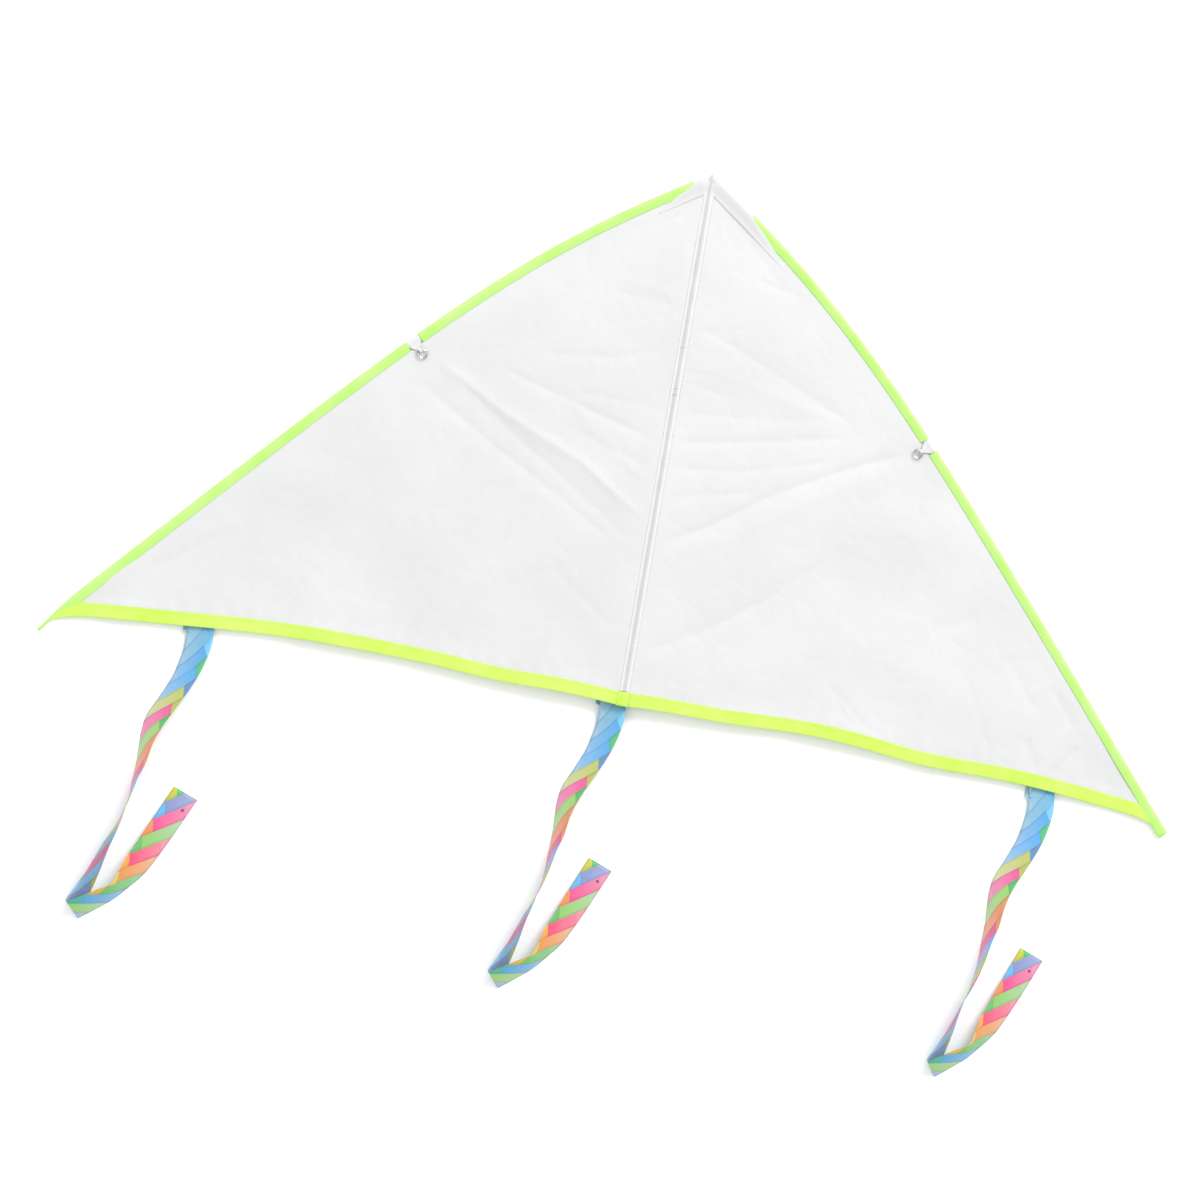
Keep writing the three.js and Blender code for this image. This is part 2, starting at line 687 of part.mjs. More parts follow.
function wing(side, label) {
  const hinge = new THREE.Group();
  hinge.position.set(side * HINGE_X, 0, HINGE_Z);
  hinge.rotation.y = side * SLOPE;
  const flat = new THREE.Group();
  flat.position.x = -side * HINGE_X;
  hinge.add(flat);

  flat.add(named(`sail_${label}`, sailPanel(side), CLOTH));
  flat.add(named(`nose_cap_${label}`, noseCap(side), CLOTH));
  flat.add(named(`leading_tape_upper_${label}`, upperTape(side), TAPE));
  flat.add(named(`leading_tape_lower_${label}`, lowerTape(side), TAPE));
  flat.add(named(`trailing_tape_${label}`, trailingTape(side), TAPE));
  flat.add(named(`leading_rod_${label}`, leadingRod(side), FIBREGLASS));
  flat.add(...leadingRodCaps(side, label));

  const fitting = fittingFrame(side);
  fitting.add(named(`webbing_tab_${label}`, webbingTab(), WEB));
  const steelRing = named(`ring_${label}`, ring(), STEEL);
  steelRing.position.set(LOOP_X, 0, LOOP_Z);
  fitting.add(steelRing);
  flat.add(fitting);

  const roof = -SAIL_THICKNESS - WEBBING - SOCKET_WALL - 3 * GAP;
  const capEnd = SPREADER_HALF + CAP_FLOOR + GAP;
  const socket = named(`spreader_socket_${label}`, spreaderSocket(), PLASTIC);
  socket.position.set(side * (capEnd + GAP - SOCKET_LENGTH), 0, roof);
  socket.rotation.z = side > 0 ? 0 : Math.PI;
  flat.add(socket);
  return hinge;
}

function spineAndSpreader() {
  const group = new THREE.Group();
  const frontEnd = NOSE_Y - SPINE_START - ROD_END_SPARE;
  const rearEnd = NOSE_Y - SPINE_END + ROD_END_SPARE;
  const rod = named("spine_rod", straightRod(frontEnd - rearEnd), FIBREGLASS);
  rod.position.set(0, (frontEnd + rearEnd) / 2, SPINE_Z);
  const spreader = named("spreader_rod", straightRod(2 * SPREADER_HALF), FIBREGLASS);
  spreader.rotation.z = Math.PI / 2;
  spreader.position.z = SPREADER_Z;
  const spare = CAP_FLOOR + GAP;
  const back = new THREE.Vector3(0, -1, 0);
  const ahead = new THREE.Vector3(0, 1, 0);
  const right = new THREE.Vector3(1, 0, 0);
  const left = new THREE.Vector3(-1, 0, 0);
  group.add(
    named("spine_pocket", spinePocket(), CLOTH),
    named("trailing_tape_centre", tapeOverSpine(), TAPE),
    rod,
    capAtEnd("spine_nose_cap", new THREE.Vector3(0, frontEnd + spare, SPINE_Z), back),
    capAtEnd("spine_tail_cap", new THREE.Vector3(0, rearEnd - spare, SPINE_Z), ahead),
    named("centre_connector", centreConnector(), PLASTIC),
    spreader,
    capAtEnd("spreader_cap_left", new THREE.Vector3(-SPREADER_HALF - spare, 0, SPREADER_Z), right),
    capAtEnd("spreader_cap_right", new THREE.Vector3(SPREADER_HALF + spare, 0, SPREADER_Z), left),
  );
  return group;
}

// Where a tail meets the hem's rear edge.
function hemPoint(x) {
  const arc = arcWhere(TRAILING_EDGE, (p) => p.x, Math.abs(x));
  return TRAILING_EDGE.getPointAt(arc / TRAILING_LENGTH).y;
}

function tail(label) {
  const group = new THREE.Group();
  const x = TAIL_X[label];
  const setBack = TAIL_SET_BACK[label];
  const snap = new THREE.Vector3(SNAP_X[label], SNAP_INSET + setBack, SNAP_HEIGHT[label]);
  group.position.set(x, hemPoint(x) - setBack, 0);
  const upper = named(`hem_snap_${label}`, hemSnap(), STEEL);
  const lower = named(`tail_snap_${label}`, tailSnap(), STEEL);
  upper.position.copy(snap);
  lower.position.copy(snap);
  const eye = named(`tail_eyelet_${label}`, eyelet(), STEEL);
  eye.position.copy(eyeletPlace(snap.z));
  group.add(named(`tail_ribbon_${label}`, ribbon(snap), RIBBON), upper, lower, eye);
  return group;
}

const kite = new THREE.Group();
kite.add(wing(-1, "left"), wing(1, "right"), spineAndSpreader());
kite.add(tail("left"), tail("centre"), tail("right"));

export default kite;
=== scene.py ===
import math

import bpy
import numpy as np
from mathutils import Matrix, Vector, noise
from mathutils.geometry import delaunay_2d_cdt


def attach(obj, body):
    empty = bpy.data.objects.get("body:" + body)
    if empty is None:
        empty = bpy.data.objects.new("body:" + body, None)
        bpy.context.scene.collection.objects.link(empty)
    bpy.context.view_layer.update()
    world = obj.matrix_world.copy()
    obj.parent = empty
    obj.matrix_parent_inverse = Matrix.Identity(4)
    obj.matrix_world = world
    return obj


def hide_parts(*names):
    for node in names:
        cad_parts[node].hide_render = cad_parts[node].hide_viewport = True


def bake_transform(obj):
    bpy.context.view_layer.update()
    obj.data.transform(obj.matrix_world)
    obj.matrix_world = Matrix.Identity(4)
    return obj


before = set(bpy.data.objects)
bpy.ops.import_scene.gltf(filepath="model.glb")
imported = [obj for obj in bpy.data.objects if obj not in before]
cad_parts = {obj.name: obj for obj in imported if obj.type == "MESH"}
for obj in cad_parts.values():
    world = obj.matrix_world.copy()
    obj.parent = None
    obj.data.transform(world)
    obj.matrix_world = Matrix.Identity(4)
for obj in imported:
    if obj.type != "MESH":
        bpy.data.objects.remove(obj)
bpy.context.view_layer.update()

# A delta kite lying face up: cloth sail, taped edges, sewn spine, ring fittings and ribbon tails.
# Shapes are drawn in millimetres and become metres in add_mesh. A wing is drawn flat, x out from
# the spine and z above the sail's face, and fold_down() slopes it as the frame does.

MM = 0.001
SIDES = {"left": -1, "right": 1}

# ------------------------------------------------------------------ the part's own dimensions, mm

NOSE_Y = 217
LEADING_POINTS = [(0, 0), (180, 117), (241, 193), (548, 546)]
TRAILING_POINTS = [(0, 524), (150, 513), (330, 516), (526, 536)]
SAIL_MID = -0.4  # of the cloth's thickness, from the wing's drawing plane
HINGE_X = 5  # of the line where a wing folds
HINGE_Z = 13
TIP_DROP = 9.1  # of the wing tip below the fold
SLOPE_RUN = 545
SLOPE = math.asin(TIP_DROP / SLOPE_RUN)  # of each wing, down towards its tip
TAPE_WIDTH = 12.5  # of the trailing tape's visible face
LEADING_WIDTH = 9.5  # of the leading tape's
TAPE_OPENING = 14  # in the leading tape, at the fitting
FITTING_DEPTH = NOSE_Y
RING_INSET = 18.5  # of the ring's middle, from the leading edge
SPINE_END = 511
HEM_AT_SPINE = 524
NOSE_REACH = {"left": 17, "right": 46}  # x where the nose cloth's wedge begins
WEDGE = {"left": 44, "right": 62}  # length of that wedge along the edge
LEFT_TIP_SPARE = 8  # of the left tape's thin end, past the edge's drawing
GUSSET = 28  # of the trailing tape, widened towards the tip
TAILS = {"left": -406, "centre": -12, "right": 414}
SET_BACK = {"left": 2, "centre": 0, "right": 7}  # of each tail, behind the hem's line
RIBBON_WIDTH = 25
RIBBON_HALF_THICKNESS = 0.4
RIBBON_BELOW_SNAP = 1.5
FLOOR_CLEARANCE = 0.15
# Down a ribbon from its end behind the hem: x, y, the heading and tilt of its width in degrees, and how
# much of the hem's height it still has.
RIBBON_STATIONS = [
    (4, 18, 0, 0, 1), (4, 4, 0, 2, 1), (5, -9, 4, 9, 0.85), (4, -22, 4, 18, 0.4), (1, -36, -8, 28, 0.1),
    (-3, -49, -20, 36, 0), (-12, -70, -23, 40, 0), (-20, -87, -18, 41, 0), (-24, -101, -13, 52, 0),
    (-26, -116, -13, 64, 0), (-27, -131, -13, 71, 0), (-30, -148, -12, 81, 0), (-33, -171, -13, 90, 0),
    (-38, -192, -18, 97, 0), (-45, -213, -20, 106, 0), (-52, -239, -21, 117, 0), (-58, -257, -27, 127, 0),
    (-64, -275, -43, 136, 0), (-57, -271, -52, 132, 0), (-43, -261, -58, 127, 0), (-31, -252, -53, 121, 0),
    (-23, -240, -37, 131, 0), (-13, -222, -29, 156, 0), (2, -190, -24, 170, 0), (19, -151, -20, 180, 0),
]
# The ribbon's other end, folded forward over its snap.
STUB_STATIONS = [(1, 16, 0, 0, 0.1), (1, 8, 0, 0, 0.1), (1, 2, 0, 0, 0.15), (1, -3.5, -4, -6, 0.35)]
SNAP_HEIGHT = {"left": 3.9, "centre": 6.7, "right": 3.9}  # of the hem snap's top above the floor

# ------------------------------------------------------------------ camera

camera = bpy.data.objects.new("camera", bpy.data.cameras.new("camera"))
bpy.context.scene.collection.objects.link(camera)
camera.data.lens = 111
camera.data.sensor_width = 36
camera.data.clip_end = 50
look = Vector((0.1399, 0.1498, -0.9788)).normalized()
right = Vector((0.9720, 0.1675, 0.1645))
right = (right - look * right.dot(look)).normalized()
above = right.cross(look)
camera.matrix_world = Matrix.Translation((-0.527, -0.736, 3.437)) @ Matrix(
    (right, above, -look)).transposed().to_4x4()
bpy.context.scene.camera = camera

# ------------------------------------------------------------------ node materials


class Nodes:
    """A short way to write a node material."""

    def __init__(self, name):
        self.material = bpy.data.materials.new(name)
        self.material.use_nodes = True
        self.tree = self.material.node_tree
        self.shader = self.tree.nodes["Principled BSDF"]
        self.output = self.tree.nodes["Material Output"]

    def add(self, kind, inputs=None, **settings):
        node = self.tree.nodes.new(kind)
        for key, value in settings.items():
            setattr(node, key, value)
        for key, value in (inputs or {}).items():
            self.put(node.inputs[key], value)
        return node

    def put(self, socket, value):
        if isinstance(value, bpy.types.NodeSocket):
            self.tree.links.new(value, socket)
        else:
            socket.default_value = value

    def math(self, operation, a, b=0.0, c=0.0):
        node = self.add("ShaderNodeMath", operation=operation)
        for socket, value in zip(node.inputs, (a, b, c)):
            self.put(socket, value)
        return node.outputs[0]

    def spread(self, value, low, high, to_low=0.0, to_high=1.0):
        node = self.add("ShaderNodeMapRange", {"Value": value, "From Min": low, "From Max": high,
                                               "To Min": to_low, "To Max": to_high})
        return node.outputs["Result"]

    def mix(self, factor, a, b, blend="MIX"):
        node = self.add("ShaderNodeMix", data_type="RGBA", blend_type=blend)
        self.put(node.inputs[0], factor)
        self.put(node.inputs[6], a)
        self.put(node.inputs[7], b)
        return node.outputs[2]

    def place(self, kind="Object"):
        return self.add("ShaderNodeTexCoord").outputs[kind]

    def noise(self, scale, detail=2.0, stretch=None, kind="Object"):
        vector = self.place(kind)
        if stretch:
            vector = self.add("ShaderNodeMapping", {"Vector": vector, "Scale": stretch}).outputs[0]
        node = self.add("ShaderNodeTexNoise", {"Vector": vector, "Scale": scale, "Detail": detail})
        return node.outputs["Fac"]

    def weave(self, pitch, kind="Object"):
        """Threads each way, pitch metres apart: 0 between threads, 1 on top of them."""
        parts = self.add("ShaderNodeSeparateXYZ", {"Vector": self.place(kind)}).outputs
        waves = [self.math("ABSOLUTE", self.math("SINE", self.math("MULTIPLY", part, math.pi / pitch)))
                 for part in (parts[0], parts[1])]
        return self.math("MAXIMUM", *waves)

    def bump(self, height, distance, strength=1.0, normal=None):
        inputs = {"Height": height, "Distance": distance, "Strength": strength}
        if normal is not None:
            inputs["Normal"] = normal
        return self.add("ShaderNodeBump", inputs).outputs[0]

    def set(self, **values):
        for key, value in values.items():
            self.put(self.shader.inputs[key.replace("_", " ")], value)
        return self

    def thin(self, colour, share):
        """Lets a share of the light through, as thin cloth does."""
        glow = self.add("ShaderNodeBsdfTranslucent", {"Color": colour})
        both = self.add("ShaderNodeMixShader", {"Fac": share})
        self.put(both.inputs[1], self.shader.outputs[0])
        self.put(both.inputs[2], glow.outputs[0])
        self.put(self.output.inputs[0], both.outputs[0])
        return self


LIT = 0.86  # the lights whiten the floor, so the object's own colours are a little deeper


def rgba(red, green, blue):
    """A linear colour from its 0 to 255 display values, as the object shows them in these lights."""
    return tuple(LIT * (value / 255) ** 2.2 for value in (red, green, blue)) + (1.0,)


def sail_material():
    n = Nodes("sail_cloth")
    cloudy = n.noise(9, 4)
    colour = n.mix(n.spread(cloudy, 0.35, 0.7), rgba(235, 235, 236), rgba(240, 240, 241))
    weave = n.bump(n.weave(0.0007), 0.00006, 0.5)
    n.set(Base_Color=colour, Roughness=n.spread(n.noise(400), 0.3, 0.7, 0.48, 0.62),
          Normal=n.bump(n.noise(130, 3), 0.0004, 0.35, weave), Sheen_Weight=0.15, Sheen_Roughness=0.4)
    return n.thin(colour, 0.22).material


def tape_material(name, plain, deep):
    n = Nodes(name)
    patches = n.spread(n.noise(38, 3), 0.35, 0.7)
    colour = n.mix(patches, plain, deep)
    ribs = n.weave(0.0009)
    # Darker between the threads: painted shade in the grooves of the weave.
    colour = n.mix(n.spread(ribs, 0.0, 0.5, 0.3, 0.0), colour, deep)
    n.set(Base_Color=colour, Roughness=n.spread(n.noise(300), 0.3, 0.7, 0.6, 0.75),
          Normal=n.bump(n.noise(90, 3), 0.0004, 0.3, n.bump(ribs, 0.00012, 0.6)))
    return n.material


def spine_material():
    """Sail cloth over the dark spine rod, painted a little darker than the sail, with a painted grey shade down
    its middle where the rod shows through.
    """
    n = Nodes("spine_cloth")
    across = n.math("ABSOLUTE", n.add("ShaderNodeSeparateXYZ", {"Vector": n.place()}).outputs[0])
    wander = n.math("MULTIPLY_ADD", n.noise(60, 3), 0.0016, -0.0008)
    # Painted shade: grey down the channel's middle, wandering a little, standing in for the dark rod's shade
    # seen through the cloth.
    shade = n.spread(n.math("ADD", across, wander), 0.0008, 0.0032, 1.0, 0.0)
    colour = n.mix(shade, rgba(226, 226, 227), rgba(196, 196, 198))
    weave = n.bump(n.weave(0.0007), 0.00006, 0.5)
    n.set(Base_Color=colour, Roughness=n.spread(n.noise(400), 0.3, 0.7, 0.5, 0.64),
          Normal=n.bump(n.noise(130, 3), 0.0004, 0.35, weave), Sheen_Weight=0.15, Sheen_Roughness=0.4)
    return n.material


def thread_material(name, colour):
    n = Nodes(name)
    twist = n.noise(1500, 1)
    darker = tuple(value * 0.8 for value in colour[:3]) + (1.0,)
    n.set(Base_Color=n.mix(twist, darker, colour), Roughness=0.5, Normal=n.bump(twist, 0.0001, 0.6))
    return n.material


PRINT = [
    (104, 180, 216), (84, 172, 232), (88, 178, 240), (196, 204, 104), (244, 92, 160),
    (158, 214, 110), (240, 146, 92), (232, 72, 142), (148, 178, 226), (198, 204, 92),
    (92, 176, 188), (226, 64, 140), (120, 194, 244), (148, 164, 220), (150, 212, 98),
    (66, 170, 230), (92, 196, 82), (240, 150, 40), (250, 70, 120), (146, 206, 102),
    (248, 72, 146), (136, 150, 208), (84, 200, 100), (240, 138, 72), (100, 196, 124),
]
PRINT_SIDE = [
    (90, 180, 236), (130, 205, 245), (96, 196, 130), (110, 150, 205), (190, 200, 100),
    (96, 190, 110), (222, 160, 110), (236, 150, 110), (120, 180, 240), (176, 206, 90),
    (236, 120, 150), (110, 160, 225), (150, 170, 225), (200, 210, 90), (110, 190, 120),
    (80, 190, 160), (236, 190, 60), (238, 210, 80), (250, 170, 70), (110, 196, 116),
    (244, 152, 92), (110, 190, 244), (206, 212, 76), (96, 180, 236), (120, 200, 160),
]
BAND_PITCH = 20  # along the ribbon, from one strand to the next
RISE = 1.5  # slope of the strands that rise to the right
FALL = 1.6  # slope of the strands' ends
LEFT_END = 3.9  # where the strand from the left gives way
RIGHT_END = 59.7  # where the paler end on the right begins


def ribbon_material():
    """Printed braid: slanting strands, with a paler end on the right and another strand on the left."""
    n = Nodes("printed_ribbon")
    uv = n.add("ShaderNodeSeparateXYZ", {"Vector": n.place("UV")}).outputs
    across = n.math("MULTIPLY", uv[0], RIBBON_WIDTH)
    along = n.math("MULTIPLY", uv[1], 1 / MM)
    rising = n.math("DIVIDE", n.math("MULTIPLY_ADD", across, -RISE, along), BAND_PITCH)
    falling = n.math("DIVIDE", n.math("MULTIPLY_ADD", across, FALL, along), BAND_PITCH)
    band = n.math("FLOOR", rising)
    within = n.math("FRACT", rising)
    reach = n.math("SUBTRACT", falling, n.math("ADD", band, 1.0))
    place = n.math("DIVIDE", n.math("ADD", band, 1.5), len(PRINT) + 2)

    def ramp(colours):
        node = n.add("ShaderNodeValToRGB", {"Fac": place})
        node.color_ramp.interpolation = "CONSTANT"
        stops = node.color_ramp.elements
        padded = [colours[0], *colours, colours[-1]]
        while len(stops) < len(padded):
            stops.new(1.0)
        for index, (stop, colour) in enumerate(zip(stops, padded)):
            stop.position = index / len(padded)
            stop.color = rgba(*colour)
        return node.outputs[0]

    strand = ramp(PRINT)
    pale = n.mix(0.35, strand, rgba(235, 240, 245))
    deep = n.mix(0.75, strand, rgba(90, 90, 150), "MULTIPLY")
    soft = n.noise(160, 2)
    main = n.mix(n.spread(n.math("ADD", reach, soft), 0.4, 3.4, 0.0, 0.75), strand, pale)
    main = n.mix(n.spread(within, 0.0, 0.22, 0.32, 0.0), main, deep)
    left_end = n.mix(n.spread(within, 0.0, 0.3, 0.35, 0.0), ramp(PRINT_SIDE), deep)
    in_left = n.math("LESS_THAN", reach, LEFT_END / BAND_PITCH)
    in_right = n.math("GREATER_THAN", reach, RIGHT_END / BAND_PITCH)
    colour = n.mix(in_right, main, pale)
    edge = n.spread(n.math("ABSOLUTE", n.math("SUBTRACT", reach, LEFT_END / BAND_PITCH)), 0.0, 0.06, 0.3, 0.0)
    colour = n.mix(edge, n.mix(in_left, colour, left_end), deep)
    n.set(Base_Color=colour, Roughness=0.42, Normal=n.bump(n.weave(0.0005, "UV"), 0.00006, 0.5),
          Sheen_Weight=0.1)
    return n.thin(colour, 0.15).material


def webbing_material():
    n = Nodes("webbing")
    ribs = n.weave(0.0008)
    # Darker between the threads and lighter on top of them: painted shade and painted light of the weave's ribs.
    n.set(Base_Color=n.mix(ribs, rgba(206, 206, 208), rgba(232, 231, 233)), Roughness=0.7,
          Normal=n.bump(ribs, 0.0003, 0.8), Sheen_Weight=0.2)
    return n.material


def rod_material():
    n = Nodes("fibreglass")
    fibres = n.noise(900, 3, (1, 0.04, 1))
    n.set(Base_Color=n.mix(fibres, rgba(34, 36, 38), rgba(74, 76, 78)),
          Roughness=n.spread(fibres, 0.3, 0.7, 0.3, 0.45), Normal=n.bump(fibres, 0.0001, 0.3))
    return n.material


def plastic_material(name, dark, light, rough):
    n = Nodes(name)
    grain = n.noise(700, 4)
    n.set(Base_Color=n.mix(n.spread(grain, 0.4, 0.7), dark, light),
          Roughness=n.spread(grain, 0.3, 0.7, rough - 0.06, rough + 0.08),
          Normal=n.bump(grain, 0.0001, 0.35))
    return n.material


def metal_material(name, dark, light, rough):
    n = Nodes(name)
    marks = n.noise(500, 4, (1, 1, 6))
    n.set(Base_Color=n.mix(n.spread(marks, 0.35, 0.7), dark, light), Metallic=1.0,
          Roughness=n.spread(marks, 0.3, 0.7, rough, rough + 0.14), Normal=n.bump(marks, 0.00005, 0.3))
    return n.material


SAIL = sail_material()
SPINE_CLOTH = spine_material()
LEADING_TAPE = tape_material("leading_tape", rgba(196, 246, 136), rgba(182, 244, 114))
TRAILING_TAPE = tape_material("trailing_tape", rgba(208, 248, 106), rgba(194, 242, 80))
WHITE_THREAD = thread_material("white_thread", rgba(236, 236, 236))
LIME_THREAD = thread_material("lime_thread", rgba(196, 244, 110))
RIBBON = ribbon_material()
WEBBING = webbing_material()
ROD = rod_material()
MOULDED = plastic_material("moulded_plastic", rgba(28, 28, 30), rgba(44, 45, 48), 0.42)
VINYL = plastic_material("vinyl", rgba(30, 30, 30), rgba(48, 48, 50), 0.55)
STEEL = metal_material("ring_steel", rgba(168, 170, 174), rgba(214, 215, 218), 0.12)
SNAP = metal_material("snap_metal", rgba(60, 61, 66), rgba(104, 105, 110), 0.26)

# ------------------------------------------------------------------ meshes


def add_mesh(name, points, faces, material, uvs=None):
    """A smooth mesh object from points in millimetres. uvs are one pair for each corner of each face."""
    mesh = bpy.data.meshes.new(name)
    mesh.from_pydata((np.asarray(points, float) * MM).tolist(), [], faces)
    mesh.materials.append(material)
    if uvs is not None:
        layer = mesh.uv_layers.new(name="UVMap")
        layer.data.foreach_set("uv", np.asarray(uvs, np.float32).ravel())
    mesh.shade_smooth()
    thing = bpy.data.objects.new(name, mesh)
    bpy.context.scene.collection.objects.link(thing)
    return thing


def thicken(thing, thickness):
    """Gives a sheet its thickness, equally on both sides."""
    solid = thing.modifiers.new("thickness", "SOLIDIFY")
    solid.thickness = thickness * MM
    solid.offset = 0
    return thing


def grid_faces(rows, columns, closed=False):
    """Faces of a grid of points stored row by row. Closed joins the last column to the first."""
    faces = []
    for row in range(rows - 1):
        for column in range(columns if closed else columns - 1):
            a = row * columns + column
            b = row * columns + (column + 1) % columns
            faces.append((a, b, b + columns, a + columns))
    return faces


def smooth(low, high, value):
    share = np.clip((np.asarray(value, float) - low) / (high - low), 0, 1)
    return share * share * (3 - 2 * share)


class Edge:
    """One edge of a wing's drawing, travelled from the spine outwards by arc length."""

    def __init__(self, controls, inwards):
        t = np.linspace(0, 1, 1201)[:, None]
        p = np.array([(x, NOSE_Y - depth) for x, depth in controls], float)
        self.points = ((1 - t) ** 3 * p[0] + 3 * (1 - t) ** 2 * t * p[1]
                       + 3 * (1 - t) * t * t * p[2] + t ** 3 * p[3])
        steps = np.linalg.norm(np.diff(self.points, axis=0), axis=1)
        self.arcs = np.concatenate([[0], np.cumsum(steps)])
        self.tangents = np.gradient(self.points, self.arcs, axis=0)
        self.length = self.arcs[-1]
        self.inwards = inwards

    def at(self, arc, inset=0.0):
        """Points (x, y) at arc lengths, an inset inside the edge, which runs straight on past its end."""
        inside = np.clip(arc, 0, self.length)
        x, y = (np.interp(inside, self.arcs, self.points[:, k]) for k in (0, 1))
        tx, ty = (np.interp(inside, self.arcs, self.tangents[:, k]) for k in (0, 1))
        beyond = arc - inside
        return (x + tx * beyond + self.inwards * ty * inset, y + ty * beyond - self.inwards * tx * inset)

    def arc_where(self, measure):
        """The arc length at which a rising measure of the edge's points passes zero."""
        return float(np.interp(0, measure(self.points), self.arcs))

    def distance(self, x, y):
        """How far points are from the edge."""
        line = self.points[::6]
        return np.concatenate([
            np.sqrt(((part[:, None, :] - line[None]) ** 2).sum(2)).min(1)
            for part in np.array_split(np.stack([x, y], 1), max(1, len(x) // 4000))
        ])


LEADING = Edge(LEADING_POINTS, 1)
TRAILING = Edge(TRAILING_POINTS, -1)
FITTING_ARC = LEADING.arc_where(lambda p: NOSE_Y - p[:, 1] - FITTING_DEPTH)


def fold_down(side, x, y, z):
    """Points of a wing's flat drawing in the row frame."""
    out = np.asarray(x, float) - HINGE_X
    across = HINGE_X + out * math.cos(SLOPE) + np.asarray(z, float) * math.sin(SLOPE)
    height = HINGE_Z - out * math.sin(SLOPE) + np.asarray(z, float) * math.cos(SLOPE)
    return np.stack([side * across, np.broadcast_to(y, across.shape), height], -1)


# ------------------------------------------------------------------ the lie of the cloth

# Creases as sharp lines: points (x, y), half width, height. Swells are broad and rounded.
CREASES = {
    "left": [
        ([(233, -13), (155, -54), (76, -86), (4, -132)], 5.5, 2.6),
        ([(243, -38), (165, -84), (99, -118), (30, -158)], 7, -1.6),
        ([(216, -22), (150, -68), (90, -104), (24, -146)], 8, -1.7),
        ([(170, -10), (92, -30), (4, -53)], 4, -1.3),
        ([(137, 11), (64, 20), (8, 42)], 4.5, -0.9),
        ([(94, -19), (57, -19), (4, -20)], 3, -0.5),
        ([(96, -54), (9, -79)], 3.5, -0.8),
        ([(110, -20), (60, -60), (6, -96)], 4, 0.6),
        ([(99, 139), (42, 159), (6, 179)], 5, -0.8),
        ([(79, 86), (5, 81)], 5, -0.6),
        ([(60, 100), (22, 92), (6, 60)], 4, 0.5),
        ([(226, -72), (260, -131)], 2.5, -0.8),
        ([(178, -87), (206, -146), (237, -219)], 2.2, -1.1),
        ([(171, -169), (186, -239)], 2.4, -0.9),
        ([(191, -210), (218, -282)], 2.2, -1.0),
        ([(132, -151), (150, -210), (173, -288)], 2.2, -1.3),
        ([(118, -190), (136, -262)], 3, 0.6),
        ([(84, -257), (92, -288)], 3, -0.9),
        ([(140, -223), (87, -190), (11, -243)], 5, -0.8),
        ([(361, -162), (384, -211), (442, -284)], 3, -1.3),
        ([(391, -212), (461, -266)], 3, -1.2),
        ([(300, -230), (345, -285)], 2.6, -0.6),
    ],
    "right": [
        ([(236, -13), (176, -42), (106, -83), (52, -124), (4, -152)], 4, -2.2),
        ([(226, -30), (150, -76), (80, -124), (12, -166)], 7, 0.9),
        ([(13, 67), (85, 40), (184, -1)], 4.5, -1.0),
        ([(14, 30), (90, 16), (160, 2)], 4, 0.5),
        ([(14, 10), (60, 4)], 3, -0.6),
        ([(6, -50), (97, -30), (185, -8)], 4, -1.2),
        ([(6, -74), (72, -65), (174, -33)], 3.5, -0.9),
        ([(6, -103), (105, -78)], 3.5, -0.8),
        ([(8, -20), (70, -12), (140, -2)], 3, -0.6),
        ([(14, 186), (45, 162), (90, 118)], 5, -0.8),
        ([(60, 123), (111, 114)], 4, -0.7),
        ([(6, -255), (54, -230), (122, -180), (181, -123)], 4, -1.1),
        ([(283, -182), (332, -154)], 6, -1.1),
        ([(361, -186), (400, -239)], 4, -1.0),
        ([(411, -210), (440, -246)], 3.5, -1.0),
        ([(194, -248), (223, -288)], 2.6, -0.8),
        ([(202, -254), (247, -291)], 2.6, -0.8),
        ([(395, -262), (408, -296)], 4, -1.4),
        ([(446, -262), (430, -290), (425, -302)], 4, -1.2),
        ([(325, -215), (350, -262), (362, -292)], 3, -0.7),
    ],
}
SWELLS = {
    "left": [
        ([(310, -195), (235, -240)], 34, -2.6),
        ([(342, -150), (290, -170)], 30, 1.4),
        ([(250, -110), (200, -190)], 34, 1.2),
        ([(90, -230), (40, -262)], 26, -1.2),
        ([(120, 60), (40, 110)], 34, 1.1),
        ([(420, -245), (480, -290)], 22, -1.0),
    ],
    "right": [
        ([(122, -180), (187, -150), (262, -150)], 40, -2.8),
        ([(187, -85), (274, -82)], 30, 1.5),
        ([(60, -262), (150, -255)], 24, 1.2),
        ([(300, -230), (350, -250)], 26, 1.2),
        ([(110, 70), (40, 120)], 34, 1.1),
        ([(430, -250), (480, -290)], 20, -1.0),
    ],
}


CREASE_DEPTH = 0.75  # share of each crease's height that the stretched cloth keeps


def near_line(x, y, line):
    """Each point's distance from a bent line, and how far along it the nearest place is, from 0 to 1."""
    line = np.array(line, float)
    lengths = np.linalg.norm(np.diff(line, axis=0), axis=1)
    before = np.concatenate([[0], np.cumsum(lengths)])
    best = np.full(x.shape, 1e9)
    along = np.zeros(x.shape)
    for start, end, length, offset in zip(line, line[1:], lengths, before):
        step = (end - start) / length
        run = np.clip((x - start[0]) * step[0] + (y - start[1]) * step[1], 0, length)
        away = np.hypot(x - start[0] - run * step[0], y - start[1] - run * step[1])
        nearer = away < best
        best = np.where(nearer, away, best)
        along = np.where(nearer, (run + offset) / before[-1], along)
    return best, along


def crumple(x, y, size, seed):
    """Random soft folds between -1 and 1, about size millimetres apart."""
    return np.array([noise.noise(Vector((a / size, b / size, seed))) for a, b in zip(x, y)])


def hem_wave(side, x):
    """The slight waves of the trailing edge, which die out at the spine, the tails and the tips."""
    free = (smooth(8, 60, x) * (1 - smooth(470, 520, x)) * (0.25 + 0.75 * smooth(10, 50, np.abs(x - 415))))
    return free * (0.9 * np.sin(x / 31 + side) + 0.6 * np.sin(x / 17.3 + 2 * side) + 0.35 * np.sin(x / 9.1))


